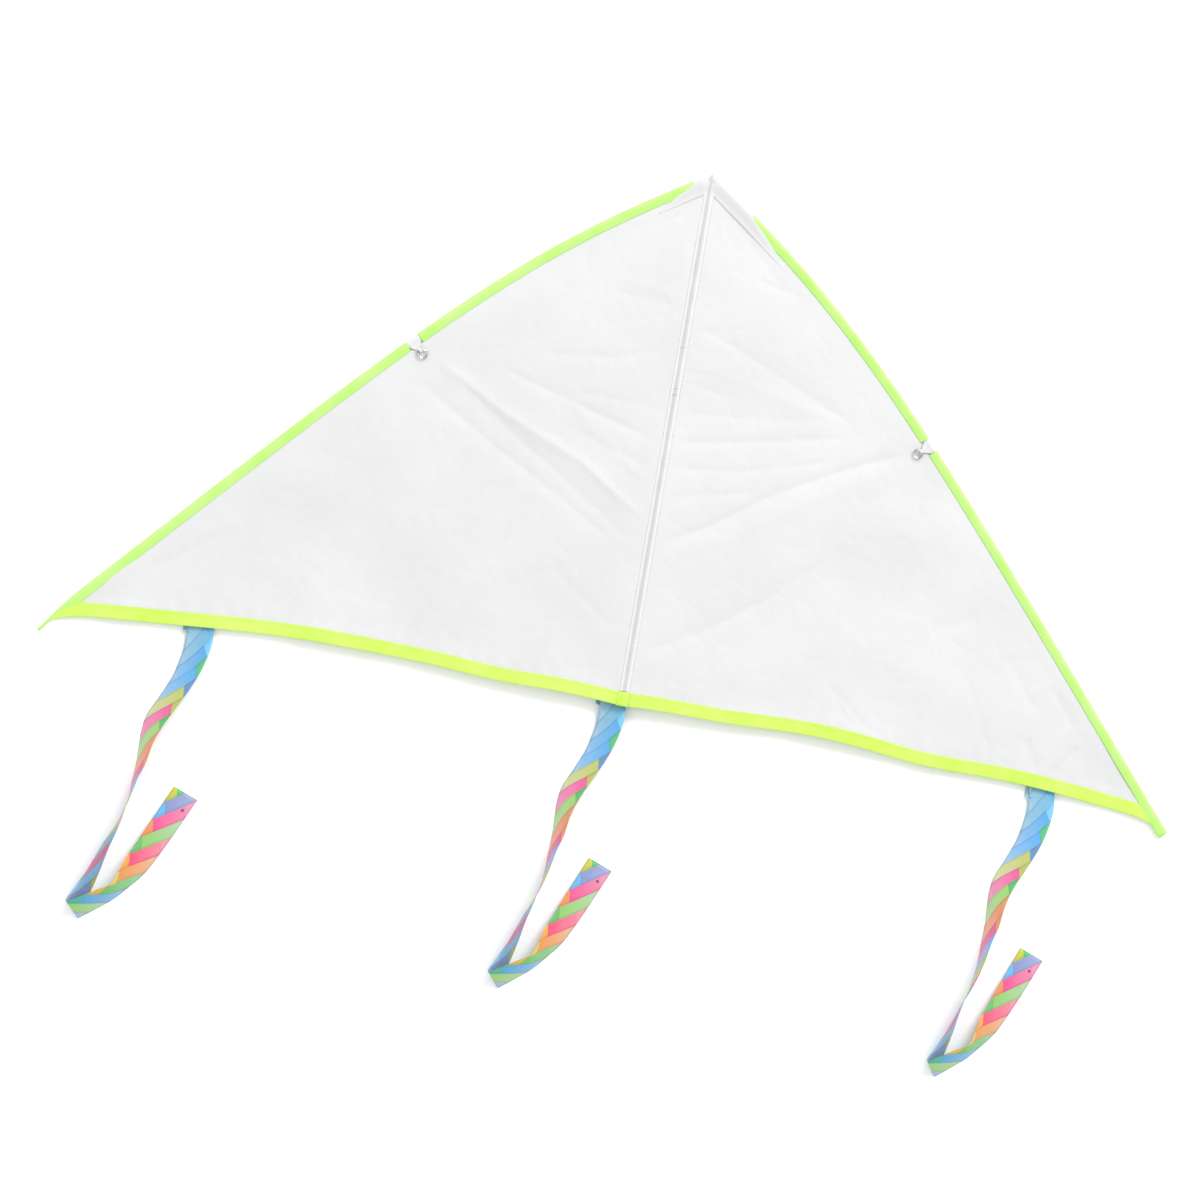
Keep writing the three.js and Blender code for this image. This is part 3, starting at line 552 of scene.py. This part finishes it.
def hem_shift(side, x):
    """How far forward of its drawing the trailing edge lies: it droops a little more on the right."""
    if side < 0:
        return 2.5 * np.exp(-(((x - 330) / 80) ** 2)) - 3.5 * np.exp(-(((x - 120) / 55) ** 2))
    return -5.5 * np.exp(-(((x - 300) / 65) ** 2)) - 2.5 * np.exp(-(((x - 100) / 50) ** 2))


def relief(label, x, y):
    """Height of the sail's cloth above its flat drawing."""
    side = SIDES[label]
    height = np.zeros(x.shape)
    for line, half_width, rise in CREASES[label]:
        away, along = near_line(x, y, line)
        ends = smooth(0, 0.12, along) * (1 - smooth(0.82, 1, along))
        sharp = np.exp(-(np.hypot(away, 1.2) - 1.2) / half_width)
        height += CREASE_DEPTH * rise * sharp * (0.15 + 0.85 * ends)
    for line, half_width, rise in SWELLS[label]:
        away, _ = near_line(x, y, line)
        height += rise * np.exp(-((away / half_width) ** 2))
    height += 0.9 * crumple(x, y, 85, 3 + side) + 0.38 * crumple(x, y, 34, 9 + side)
    height -= 0.30 * (1 - np.abs(crumple(x, y, 21, 15 + side))) ** 6
    to_leading = LEADING.distance(x, y)
    to_trailing = TRAILING.distance(x, y)
    calm = smooth(LEADING_WIDTH, LEADING_WIDTH + 16, to_leading)
    calm = calm * smooth(TAPE_WIDTH - 2, TAPE_WIDTH + 10, to_trailing)
    calm = calm * smooth(4.4, 13, x)
    from_tape = np.maximum(to_trailing - TAPE_WIDTH, 0)
    pucker = 0.5 * np.sin(x / 3.1 + 3 * crumple(x, y, 40, 30)) * np.exp(-from_tape / 9)
    pucker = pucker * smooth(TAPE_WIDTH - 1.5, TAPE_WIDTH + 2, to_trailing) * smooth(20, 40, to_leading)
    waves = hem_wave(side, x) * (1 - smooth(20, 75, to_trailing))
    return height * calm + pucker * smooth(15, 40, x) + waves


# ------------------------------------------------------------------ sail

SAIL_STEP = 2.6  # between the sail's points
SEAM_X = 3.9  # where a sail half begins, under the spine channel


def sail(label):
    side = SIDES[label]
    leading_arc = LEADING.arc_where(lambda p: p[:, 0] - HINGE_X)
    x, y = LEADING.at(np.linspace(leading_arc, LEADING.length - 22, 270), 7.6)
    ahead = [(a, b) for a, b in zip(x, y) if a > SEAM_X]
    x, y = TRAILING.at(np.linspace(SEAM_X, TRAILING.length - 14, 200), 1.6)
    behind = [(a, b) for a, b in zip(x, y)][::-1]
    seam = [(SEAM_X, b) for b in np.linspace(behind[-1][1], ahead[0][1], 200)[1:-1]]
    outline = np.array(ahead + behind + seam)
    rows = []
    for row, b in enumerate(np.arange(outline[:, 1].min(), outline[:, 1].max(), SAIL_STEP * 0.866)):
        a = np.arange(SEAM_X + (row % 2) * SAIL_STEP / 2, outline[:, 0].max(), SAIL_STEP)
        rows.append(np.stack([a, np.full(a.shape, b)], 1))
    inner = np.concatenate(rows)
    inner = inner[inside(outline, inner) & (from_line(outline, inner) > SAIL_STEP * 0.45)]
    points = np.concatenate([outline, inner])
    count = len(outline)
    vertices, _, faces, *_ = delaunay_2d_cdt([Vector(p) for p in points], [], [list(range(count))], 1, 1e-4)
    flat = np.array([tuple(v) for v in vertices])
    z = SAIL_MID + relief(label, flat[:, 0], flat[:, 1])
    flat[:, 1] += hem_shift(side, flat[:, 0]) * (1 - smooth(TAPE_WIDTH, 90, TRAILING.distance(*flat.T)))
    if side < 0:
        faces = [face[::-1] for face in faces]
    cloth = add_mesh(f"sail_cloth_{label}", fold_down(side, flat[:, 0], flat[:, 1], z), faces, SAIL)
    thicken(cloth, 0.3)
    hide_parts(f"sail_{label}")
    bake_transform(cloth)
    return cloth


def inside(outline, points):
    """Which points lie within a closed outline."""
    found = np.zeros(len(points), bool)
    for (ax, ay), (bx, by) in zip(outline, np.roll(outline, -1, 0)):
        if ay != by:
            crosses = (points[:, 1] > min(ay, by)) & (points[:, 1] <= max(ay, by))
            meet = ax + (points[:, 1] - ay) * (bx - ax) / (by - ay)
            found ^= crosses & (points[:, 0] < meet)
    return found


def from_line(outline, points):
    """Each point's distance from the nearest corner of an outline."""
    return np.concatenate([
        np.sqrt(((part[:, None, :] - outline[None]) ** 2).sum(2)).min(1)
        for part in np.array_split(points, max(1, len(points) // 3000))
    ])


# ------------------------------------------------------------------ tapes and stitches


def sweep(name, label, edge, arcs, sections, material):
    """A folded cloth strip along an edge. For each arc, a section has points (inset, height over the sail)."""
    side = SIDES[label]
    sections = np.asarray(sections, float)
    x, y = edge.at(np.asarray(arcs, float)[:, None], sections[:, :, 0])
    z = SAIL_MID + sections[:, :, 1]
    points = fold_down(side, x, y, z).reshape(-1, 3)
    faces = grid_faces(*sections.shape[:2])
    if side * edge.inwards > 0:
        faces = [face[::-1] for face in faces]
    return add_mesh(name, points, faces, material)


# Half the height of a leading edge's fold at insets from its outer edge, round the rod and its caps.
FOLD_PROFILE = [
    (0, 0), (0.35, 1.1), (1, 1.95), (2.2, 2.65), (3.5, 2.86), (5, 2.5), (6.5, 1.6), (8, 0.8), (9.5, 0.36),
    (11, 0.34),
]


def sleeve_section(outer=0.0, inner=LEADING_WIDTH, extra=0.0):
    """A fold round the rod and back, from the top's inner edge to the bottom's."""
    insets = outer + (inner - outer) * np.linspace(1, 0, 15) ** 1.5
    height = np.interp(insets, *np.transpose(FOLD_PROFILE)) + extra
    near_edge = np.sqrt(np.clip((insets - outer) / 3.2, 0, 1))
    height = height * near_edge
    top = list(zip(insets, height))
    return top + [(inset, -rise) for inset, rise in top[-2::-1]]


def edge_stitches(name, label, edge, start, end, inset, heights, thread, hem=False):
    """A row of sewn stitches on each face of a tape, as short rounded threads."""
    side = SIDES[label]
    pitch, length, radius = 3.4, 2.5, 0.26
    ring_size = 6
    points, faces = [], []
    for height in heights:
        for arc in np.arange(start + 1, end - length, pitch):
            stations = arc + np.array([0, 0.25, 1.25, 2.25, 2.5])
            swell = np.array([0.25, 0.85, 1.0, 0.85, 0.25]) * radius
            rise = np.array([-0.12, 0.1, 0.16, 0.1, -0.12]) * math.copysign(1, height)
            base = len(points)
            for a, r, up in zip(stations, swell, rise):
                for k in range(ring_size):
                    angle = k * 2 * math.pi / ring_size
                    x, y = edge.at(np.array([a]), inset + r * math.cos(angle))
                    z = SAIL_MID + height + up + r * math.sin(angle)
                    if hem:
                        z, y = z + hem_wave(side, x)[0], y + hem_shift(side, x)
                    points.append(fold_down(side, x, y, z)[0])
            rings = grid_faces(len(stations), ring_size, closed=True)
            last = base + (len(stations) - 1) * ring_size
            faces += [tuple(base + i for i in face) for face in rings]
            faces += [tuple(base + i for i in range(ring_size)), tuple(last + i for i in range(ring_size))[::-1]]
    turned = side * edge.inwards > 0
    faces = [face[::-1] for face in faces] if turned else faces
    row = add_mesh(name, points, faces, thread)
    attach(row, f"wing_{label}")
    return row


def reach_arc(label):
    return LEADING.arc_where(lambda p: p[:, 0] - NOSE_REACH[label])


def leading_tape(label, part):
    """The tape's upper part, from the nose cloth to the fitting, or its lower part, from there to the tip."""
    upper = part == "upper"
    if upper:
        start, end = reach_arc(label) + 0.3, FITTING_ARC - TAPE_OPENING / 2
    else:
        start, end = FITTING_ARC + TAPE_OPENING / 2, LEADING.length - 1
    if label == "left" and not upper:
        end += LEFT_TIP_SPARE
    arcs = np.linspace(start, end, 150)
    sections = []
    for arc in arcs:
        section = np.array(sleeve_section())
        if label == "left" and not upper:
            turn = smooth(end - 50, end - 20, arc)
            drift = smooth(end - 30, end, arc)
            section[:, 0] = 1.6 * turn + section[:, 0] * (1 - 0.74 * turn) + 2.6 * drift
            section[:, 1] = section[:, 1] * (1 - 0.45 * turn)
        sections.append(section)
    tape = sweep(f"tape_{part}_{label}", label, LEADING, arcs, sections, LEADING_TAPE)
    thicken(tape, 0.28)
    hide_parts(f"leading_tape_{part}_{label}")
    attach(tape, f"wing_{label}")
    row = edge_stitches(f"tape_stitches_{part}_{label}", label, LEADING, start, end - (0 if upper else 48),
                        LEADING_WIDTH - 1.5, (0.8, -0.8), LIME_THREAD)


def trailing_tape(label):
    """The tape along the hem. At the tip it runs under the leading tape and widens into a curved corner."""
    side = SIDES[label]
    start = TRAILING.arc_where(lambda p: p[:, 0] - HINGE_X - 0.9)
    end = TRAILING.length
    corner = np.array(TRAILING.at(np.array([end]), 0.0))[:, 0]
    past = 7 if label == "left" else 13
    last = np.array(LEADING.at(np.array([LEADING.length - past]), 4.5 if label == "left" else 8.4))[:, 0]
    plain = np.linspace(start, end - GUSSET, 170)
    first = np.array(TRAILING.at(plain[-1:], 0.0))[:, 0]
    across = np.array([1, 0.8, 0.6, 0.4, 0.2, 0.06])
    upper = [(TAPE_WIDTH * a, 0.36 + 0.36 * float(smooth(1, 0.75, a))) for a in across]
    section = np.array(upper + [(0.05, 0.5), (-0.12, 0), (0.05, -0.5)] + [(a, -b) for a, b in upper[::-1]])
    points = []
    for arc in plain:
        x, y = TRAILING.at(arc, section[:, 0])
        flatter = 1 - 0.5 * smooth(4, 1, arc - start)
        z = SAIL_MID + section[:, 1] * flatter + hem_wave(side, x)
        points.append(fold_down(side, x, y + hem_shift(side, x), z))
    for t in np.linspace(0, 1, 31)[1:]:
        rear = (1 - t) ** 2 * first + 2 * t * (1 - t) * corner + t * t * last
        front = np.array(TRAILING.at(np.array([plain[-1] + t * (GUSSET - 3)]), TAPE_WIDTH))[:, 0]
        share = section[:, :1] / TAPE_WIDTH
        x, y = (rear + (front - rear) * share).T
        z = SAIL_MID + section[:, 1] * (1 - 0.45 * smooth(0.25, 0.7, t)) + hem_wave(side, x)
        points.append(fold_down(side, x, y + hem_shift(side, x), z))
    faces = grid_faces(len(points), len(section))
    if side < 0:
        faces = [face[::-1] for face in faces]
    tape = add_mesh(f"tape_trailing_{label}", np.concatenate(points), faces, TRAILING_TAPE)
    thicken(tape, 0.35)
    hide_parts(f"trailing_tape_{label}")
    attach(tape, f"wing_{label}")
    row = edge_stitches(f"tape_stitches_trailing_{label}", label, TRAILING, start, end - 20, TAPE_WIDTH - 2.2,
                        (0.85, -0.85), LIME_THREAD, hem=True)


def nose_cloth(label):
    """White cloth folded over the nose; it ends in a wedge, from which the tape comes out."""
    start = LEADING.arc_where(lambda p: p[:, 0] - HINGE_X + 0.3)
    bare = reach_arc(label)
    end = bare + WEDGE[label]
    arcs = np.concatenate([np.linspace(start, bare, 24), np.linspace(bare, end, 40)[1:]])
    sections = []
    for arc in arcs:
        outer = max(0.0, (arc - bare) / WEDGE[label]) ** 0.8 * (LEADING_WIDTH + 0.6)
        section = np.array(sleeve_section(outer, LEADING_WIDTH + 1.4, 0.3))
        section[:, 1] *= 0.42 + 0.58 * smooth(start, start + 9, arc)
        section[:, 1] *= 1 - 0.72 * smooth(LEADING_WIDTH - 3, LEADING_WIDTH + 1.4, section[:, 0])
        section[:, 0] += 0.8 * np.maximum(section[:, 0] - 4, 0)
        sections.append(section)
    patch = sweep(f"nose_cloth_{label}", label, LEADING, arcs, sections, SAIL)
    thicken(patch, 0.3)
    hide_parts(f"nose_cap_{label}")
    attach(patch, f"wing_{label}")


# ------------------------------------------------------------------ spine


CHANNEL_TOP = 12.95
CHANNEL_SIDE = 12.8
CHANNEL_BOTTOM = 7.2
CHANNEL_HALF_WIDTH = 4.3
WINDOW_BOTTOM = 12.7  # the channel's underside where the centre connector grips the rod
WINDOW_HALF_LENGTH = 6.8


def spine_pocket():
    """The sewn channel over the spine rod: a low ridge above the sail, and a round sleeve behind it."""
    front, rear = NOSE_Y - 0.4, NOSE_Y - SPINE_END
    ys = np.linspace(front, rear, 300)
    across = np.linspace(-1, 1, 21)
    under = np.linspace(0, math.pi, 15)[1:-1]
    points = []
    for y in ys:
        nose = smooth(0, 13, front - y)
        foot = smooth(rear + 22, rear, y)
        wander = 0.3 * noise.noise(Vector((y / 26, 4.1, 0)))
        coarse, fine = (noise.noise(Vector((y / size, seed, 0))) for size, seed in ((11, 0.7), (4.5, 2.7)))
        crest = 1.05 + 0.25 * coarse + 0.2 * fine
        width = 1.7 + 0.2 * noise.noise(Vector((y / 17, 6.3, 0))) + 1.2 * foot
        half = CHANNEL_HALF_WIDTH * (0.3 + 0.7 * smooth(-1, 6, front - y))
        peak = 0.62 * (1 - smooth(2, 16, front - y))
        bottom = CHANNEL_BOTTOM + 4.2 * (1 - nose)
        if abs(y) < WINDOW_HALF_LENGTH:
            bottom = WINDOW_BOTTOM
        for a in across:
            x = a * half
            ridge = (0.45 + 0.55 * nose) * crest * math.exp(-((x - wander) / width) ** 2)
            points.append((x, y - peak * abs(x), CHANNEL_TOP + ridge))
        for angle in under:
            x, depth = half * math.cos(angle), math.sin(angle) ** 0.7
            points.append((x, y - peak * abs(x), CHANNEL_SIDE - (CHANNEL_SIDE - bottom) * depth))
    columns = len(across) + len(under)
    faces = grid_faces(len(ys), columns, closed=True)
    last = (len(ys) - 1) * columns
    faces += [tuple(range(columns))[::-1], tuple(last + k for k in range(columns))]
    pocket = add_mesh("spine_channel", points, faces, SPINE_CLOTH)
    thicken(pocket, 0.24)
    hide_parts("spine_pocket")
    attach(pocket, "root")
    row = spine_stitches()


def thread_between(points, faces, start, end, radius):
    """Adds one rounded thread to lists of points and faces."""
    start, end = Vector(start), Vector(end)
    along = (end - start).normalized()
    side = along.orthogonal().normalized()
    up = along.cross(side)
    base = len(points)
    for share, swell in ((0, 0.3), (0.1, 0.9), (0.5, 1.05), (0.9, 0.9), (1, 0.3)):
        middle = start.lerp(end, share)
        for k in range(6):
            angle = k * math.pi / 3
            points.append(middle + (side * math.cos(angle) + up * math.sin(angle)) * radius * swell)
    faces += [tuple(base + i for i in face[::-1]) for face in grid_faces(5, 6, closed=True)]
    faces += [tuple(base + i for i in range(6))[::-1], tuple(base + 24 + i for i in range(6))]


def spine_stitches():
    points, faces = [], []
    for side in (-1, 1):
        for y in np.arange(NOSE_Y - 20, NOSE_Y - SPINE_END + 4, -3.6):
            if abs(y) > 8:
                thread_between(points, faces, (side * 3.4, y, 13.05), (side * 3.4, y - 2.5, 13.05), 0.2)
    for y in (44, 3, -3):
        thread_between(points, faces, (-2.2, y, 14.4), (2.2, y, 14.6), 0.4)
    row = add_mesh("spine_stitches", points, faces, WHITE_THREAD)
    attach(row, "root")
    return row


def hem_over_spine():
    """The trailing-edge tape where it closes the spine channel's end, with its small bump."""
    rear = NOSE_Y - HEM_AT_SPINE
    points = []
    xs = np.linspace(-5.6, 5.6, 25)
    rows = [(13.0, 0.9), (10.5, 1.0), (8, 1.0), (5.5, 1.0), (3, 0.95), (0.8, 0.8), (0, 0.3), (-0.3, -0.6),
            (0, -2.2), (0.8, -3.2), (4, -3.6), (8, -3.6), (12.6, -3.4)]
    for x in xs:
        rise = 1.9 * math.exp(-((x / 2.6) ** 2))
        flatter = 1 - 0.6 * float(smooth(3.4, 4.6, abs(x)))
        for ahead, height in rows:
            z = HINGE_Z + SAIL_MID + (height * flatter + rise if height > 0 else height * 1.2)
            points.append((x, rear + ahead, z))
    faces = grid_faces(len(xs), len(rows))
    patch = add_mesh("tape_centre", points, faces, TRAILING_TAPE)
    thicken(patch, 0.35)
    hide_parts("trailing_tape_centre")
    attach(patch, "root")


# ------------------------------------------------------------------ fittings


def webbing_tab(label):
    """Webbing that wraps the leading rod in the gap of the tape and ends in a loop that holds the ring."""
    side = SIDES[label]
    loop_x = RING_INSET - 4.2
    under = [(loop_x - 0.5, -1.5), (11, -1.5), (7, -1.5)]
    turns = np.linspace(-1.2, -2 * math.pi + 1.2, 13)
    wrap = [(3.5 + 2.5 * math.cos(a), -0.4 + 2.5 * math.sin(a)) for a in turns]
    top = [(6.6, 1.0), (9, 0.75), (11.2, 0.7)]
    loop = [(loop_x + 1.9 * math.cos(a), 2.5 + 1.9 * math.sin(a)) for a in np.linspace(-2.0, 3.6, 16)]
    path = np.array(under + wrap + top + loop)
    widths = np.interp(path[:, 0], [3, 7, loop_x - 1.5], [7.1, 6.8, 1.7])
    across = np.linspace(-1, 1, 9)
    points = []
    for (inset, z), half in zip(path, widths):
        x, y = LEADING.at(FITTING_ARC + across * half, inset)
        points.append(fold_down(side, x, y, np.full(x.shape, z)))
    points = np.concatenate(points)
    faces = grid_faces(len(path), len(across))
    if side < 0:
        faces = [face[::-1] for face in faces]
    tab = add_mesh(f"webbing_{label}", points, faces, WEBBING)
    thicken(tab, 0.55)
    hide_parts(f"webbing_tab_{label}")
    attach(tab, f"wing_{label}")


# ------------------------------------------------------------------ tails


def spline(points, t):
    """Centripetal Catmull-Rom curve through points, at t from 0 to 1, even in the number of points."""
    p = np.array(points, float)
    p = np.concatenate([[2 * p[0] - p[1]], p, [2 * p[-1] - p[-2]]])
    spans = len(points) - 1
    place = np.clip(t * spans, 0, spans - 1e-9)
    index = place.astype(int)
    u = (place - index)[:, None]
    p0, p1, p2, p3 = (p[index + k] for k in range(4))
    d0, d1, d2 = (np.maximum(np.linalg.norm(b - a, axis=1)[:, None] ** 0.5, 1e-3)
                  for a, b in ((p0, p1), (p1, p2), (p2, p3)))
    m1 = ((p1 - p0) / d0 - (p2 - p0) / (d0 + d1) + (p2 - p1) / d1) * d1
    m2 = ((p2 - p1) / d1 - (p3 - p1) / (d1 + d2) + (p3 - p2) / d2) * d1
    return ((2 * u ** 3 - 3 * u * u + 1) * p1 + (u ** 3 - 2 * u * u + u) * m1
            + (3 * u * u - 2 * u ** 3) * p2 + (u ** 3 - u * u) * m2)


def ribbon_points(label, stations, steps, columns, curl):
    """Places across and along a ribbon, with its face's direction, from stations of its middle."""
    lift = SNAP_HEIGHT[label] - RIBBON_BELOW_SNAP - RIBBON_HALF_THICKNESS - FLOOR_CLEARANCE
    middle, turns = [], []
    for x, y, heading, tilt, raised in stations:
        lean = math.radians(tilt)
        standing = RIBBON_WIDTH / 2 * abs(math.sin(lean)) + RIBBON_HALF_THICKNESS * abs(math.cos(lean))
        middle.append((x, y, FLOOR_CLEARANCE + standing + lift * raised))
        turns.append((heading, tilt, 0))
    t = np.linspace(0, 1, steps)
    path = spline(middle, t)
    heading, lean, _ = np.radians(spline(turns, t)).T
    tangent = np.gradient(path, axis=0)
    tangent /= np.linalg.norm(tangent, axis=1)[:, None]
    across = np.stack([np.cos(heading) * np.cos(lean), np.sin(heading) * np.cos(lean), np.sin(lean)], 1)
    face = np.cross(tangent, across)
    face /= np.linalg.norm(face, axis=1)[:, None]
    w = np.linspace(-1, 1, columns)
    arcs = np.concatenate([[0], np.cumsum(np.linalg.norm(np.diff(path, axis=0), axis=1))])
    cup = curl * (w * w)[None, :] * np.sin(arcs / 47)[:, None]
    points = (path[:, None] + across[:, None] * (w * RIBBON_WIDTH / 2)[None, :, None]
              + face[:, None] * cup[:, :, None])
    points[:, :, 2] = np.maximum(points[:, :, 2], 0.25)
    return points, face, w, arcs


def ribbon_mesh(name, origin, points, face, w, arcs, start_arc=0.0, thickness=0.24):
    """A thin closed strip, printed on both faces, each read with its own right hand side."""
    steps, columns = points.shape[:2]
    front = points + face[:, None] * thickness / 2
    back = points - face[:, None] * thickness / 2
    both = np.concatenate([front.reshape(-1, 3), back.reshape(-1, 3)]) + np.array(origin)
    half = steps * columns
    faces, uvs = [], []
    along = (arcs + start_arc) * MM

    def corner(index, flip):
        row, column = divmod(index, columns)
        u = (w[column] + 1) / 2
        return (1 - u if flip else u, along[row])

    for quad in grid_faces(steps, columns):
        faces.append(quad)
        uvs += [corner(i, True) for i in quad]
        faces.append(tuple(half + i for i in quad[::-1]))
        uvs += [corner(i, False) for i in quad[::-1]]
    rim = ([r * columns for r in range(steps)]
           + [(steps - 1) * columns + c for c in range(1, columns)]
           + [r * columns + columns - 1 for r in range(steps - 2, -1, -1)]
           + [c for c in range(columns - 2, 0, -1)])
    for a, b in zip(rim, rim[1:] + rim[:1]):
        faces.append((a, b, half + b, half + a))
        uvs += [corner(i, True) for i in (a, b, b, a)]
    return add_mesh(name, both, faces, RIBBON, uvs)


def hem_y(x):
    return float(TRAILING.at(TRAILING.arc_where(lambda p: p[:, 0] - abs(x)))[1])


def tail(label):
    x = TAILS[label]
    origin = (x, hem_y(x) - SET_BACK[label], 0)
    points, face, w, arcs = ribbon_points(label, RIBBON_STATIONS, 330, 11, 0.5)
    strip = ribbon_mesh(f"ribbon_{label}", origin, points, face, w, arcs)
    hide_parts(f"tail_ribbon_{label}")
    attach(strip, f"tail_{label}")
    points, face, w, stub_arcs = ribbon_points(label, STUB_STATIONS, 24, 11, 0.2)
    stub = ribbon_mesh(f"ribbon_fold_{label}", origin, points, face, w, stub_arcs, 34)
    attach(stub, f"tail_{label}")


# ------------------------------------------------------------------ hard parts from the frame


def finish_cad(node, material, levels=0, bevel=0.0):
    """A carried-over CAD node gets its own material, and softer edges where it needs them."""
    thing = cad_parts[node]
    thing.data.materials.clear()
    thing.data.materials.append(material)
    if bevel:
        rounded = thing.modifiers.new("edges", "BEVEL")
        rounded.width = bevel * MM
        rounded.segments = 3
        rounded.limit_method = "ANGLE"
        rounded.angle_limit = math.radians(40)
        rounded.harden_normals = True
    if levels:
        finer = thing.modifiers.new("finer", "SUBSURF")
        finer.levels = finer.render_levels = levels
        thing.data.shade_smooth()


# ------------------------------------------------------------------ building

for wing_label in SIDES:
    sail(wing_label)
    leading_tape(wing_label, "upper")
    leading_tape(wing_label, "lower")
    trailing_tape(wing_label)
    nose_cloth(wing_label)
    webbing_tab(wing_label)
    finish_cad(f"ring_{wing_label}", STEEL, levels=2)
    finish_cad(f"leading_rod_{wing_label}", ROD)
    finish_cad(f"spreader_socket_{wing_label}", MOULDED, bevel=0.35)
    finish_cad(f"hem_snap_{wing_label}", SNAP, bevel=0.2)
    for cap in ("leading_rod_nose_cap", "leading_rod_tip_cap", "spreader_cap"):
        finish_cad(f"{cap}_{wing_label}", VINYL, bevel=0.2)
spine_pocket()
hem_over_spine()
for node in ("spine_rod", "spreader_rod"):
    finish_cad(node, ROD)
for node in ("spine_nose_cap", "spine_tail_cap"):
    finish_cad(node, VINYL, bevel=0.2)
finish_cad("centre_connector", MOULDED, bevel=0.4)
finish_cad("hem_snap_centre", SNAP, bevel=0.2)
for tail_label in TAILS:
    tail(tail_label)
    finish_cad(f"tail_snap_{tail_label}", SNAP, bevel=0.15)
    finish_cad(f"tail_eyelet_{tail_label}", SNAP)

# ------------------------------------------------------------------ floor and light

floor_nodes = Nodes("floor")
floor_colour = floor_nodes.mix(floor_nodes.noise(3), (0.93, 0.93, 0.93, 1), (0.96, 0.96, 0.96, 1))
floor_nodes.set(Base_Color=floor_colour, Roughness=0.9)
FLOOR_REACH = 6000
FLOOR_DROP = 0.3
corners = [(x * FLOOR_REACH, y * FLOOR_REACH, -FLOOR_DROP) for x, y in ((-1, -1), (1, -1), (1, 1), (-1, 1))]
floor = add_mesh("floor", corners, [(0, 1, 2, 3)], floor_nodes.material)

world = bpy.data.worlds.new("studio")
world.use_nodes = True
world.node_tree.nodes["Background"].inputs["Color"].default_value = (1, 1, 1, 1)
world.node_tree.nodes["Background"].inputs["Strength"].default_value = 1.0
bpy.context.scene.world = world


def softbox(name, place, target, size, watts):
    lamp = bpy.data.lights.new(name, "AREA")
    lamp.shape = "RECTANGLE"
    lamp.size, lamp.size_y = size
    lamp.energy = watts
    holder = bpy.data.objects.new(name, lamp)
    bpy.context.scene.collection.objects.link(holder)
    holder.location = place
    holder.rotation_mode = "QUATERNION"
    holder.rotation_quaternion = (Vector(target) - Vector(place)).to_track_quat("-Z", "Y")


softbox("key", (2.0, 3.8, 4.2), (0, -0.1, 0), (3, 2.4), 230)
softbox("fill", (-3.6, -1.6, 4.8), (0, -0.1, 0), (3, 2.4), 40)

bpy.context.scene.view_settings.view_transform = "Standard"
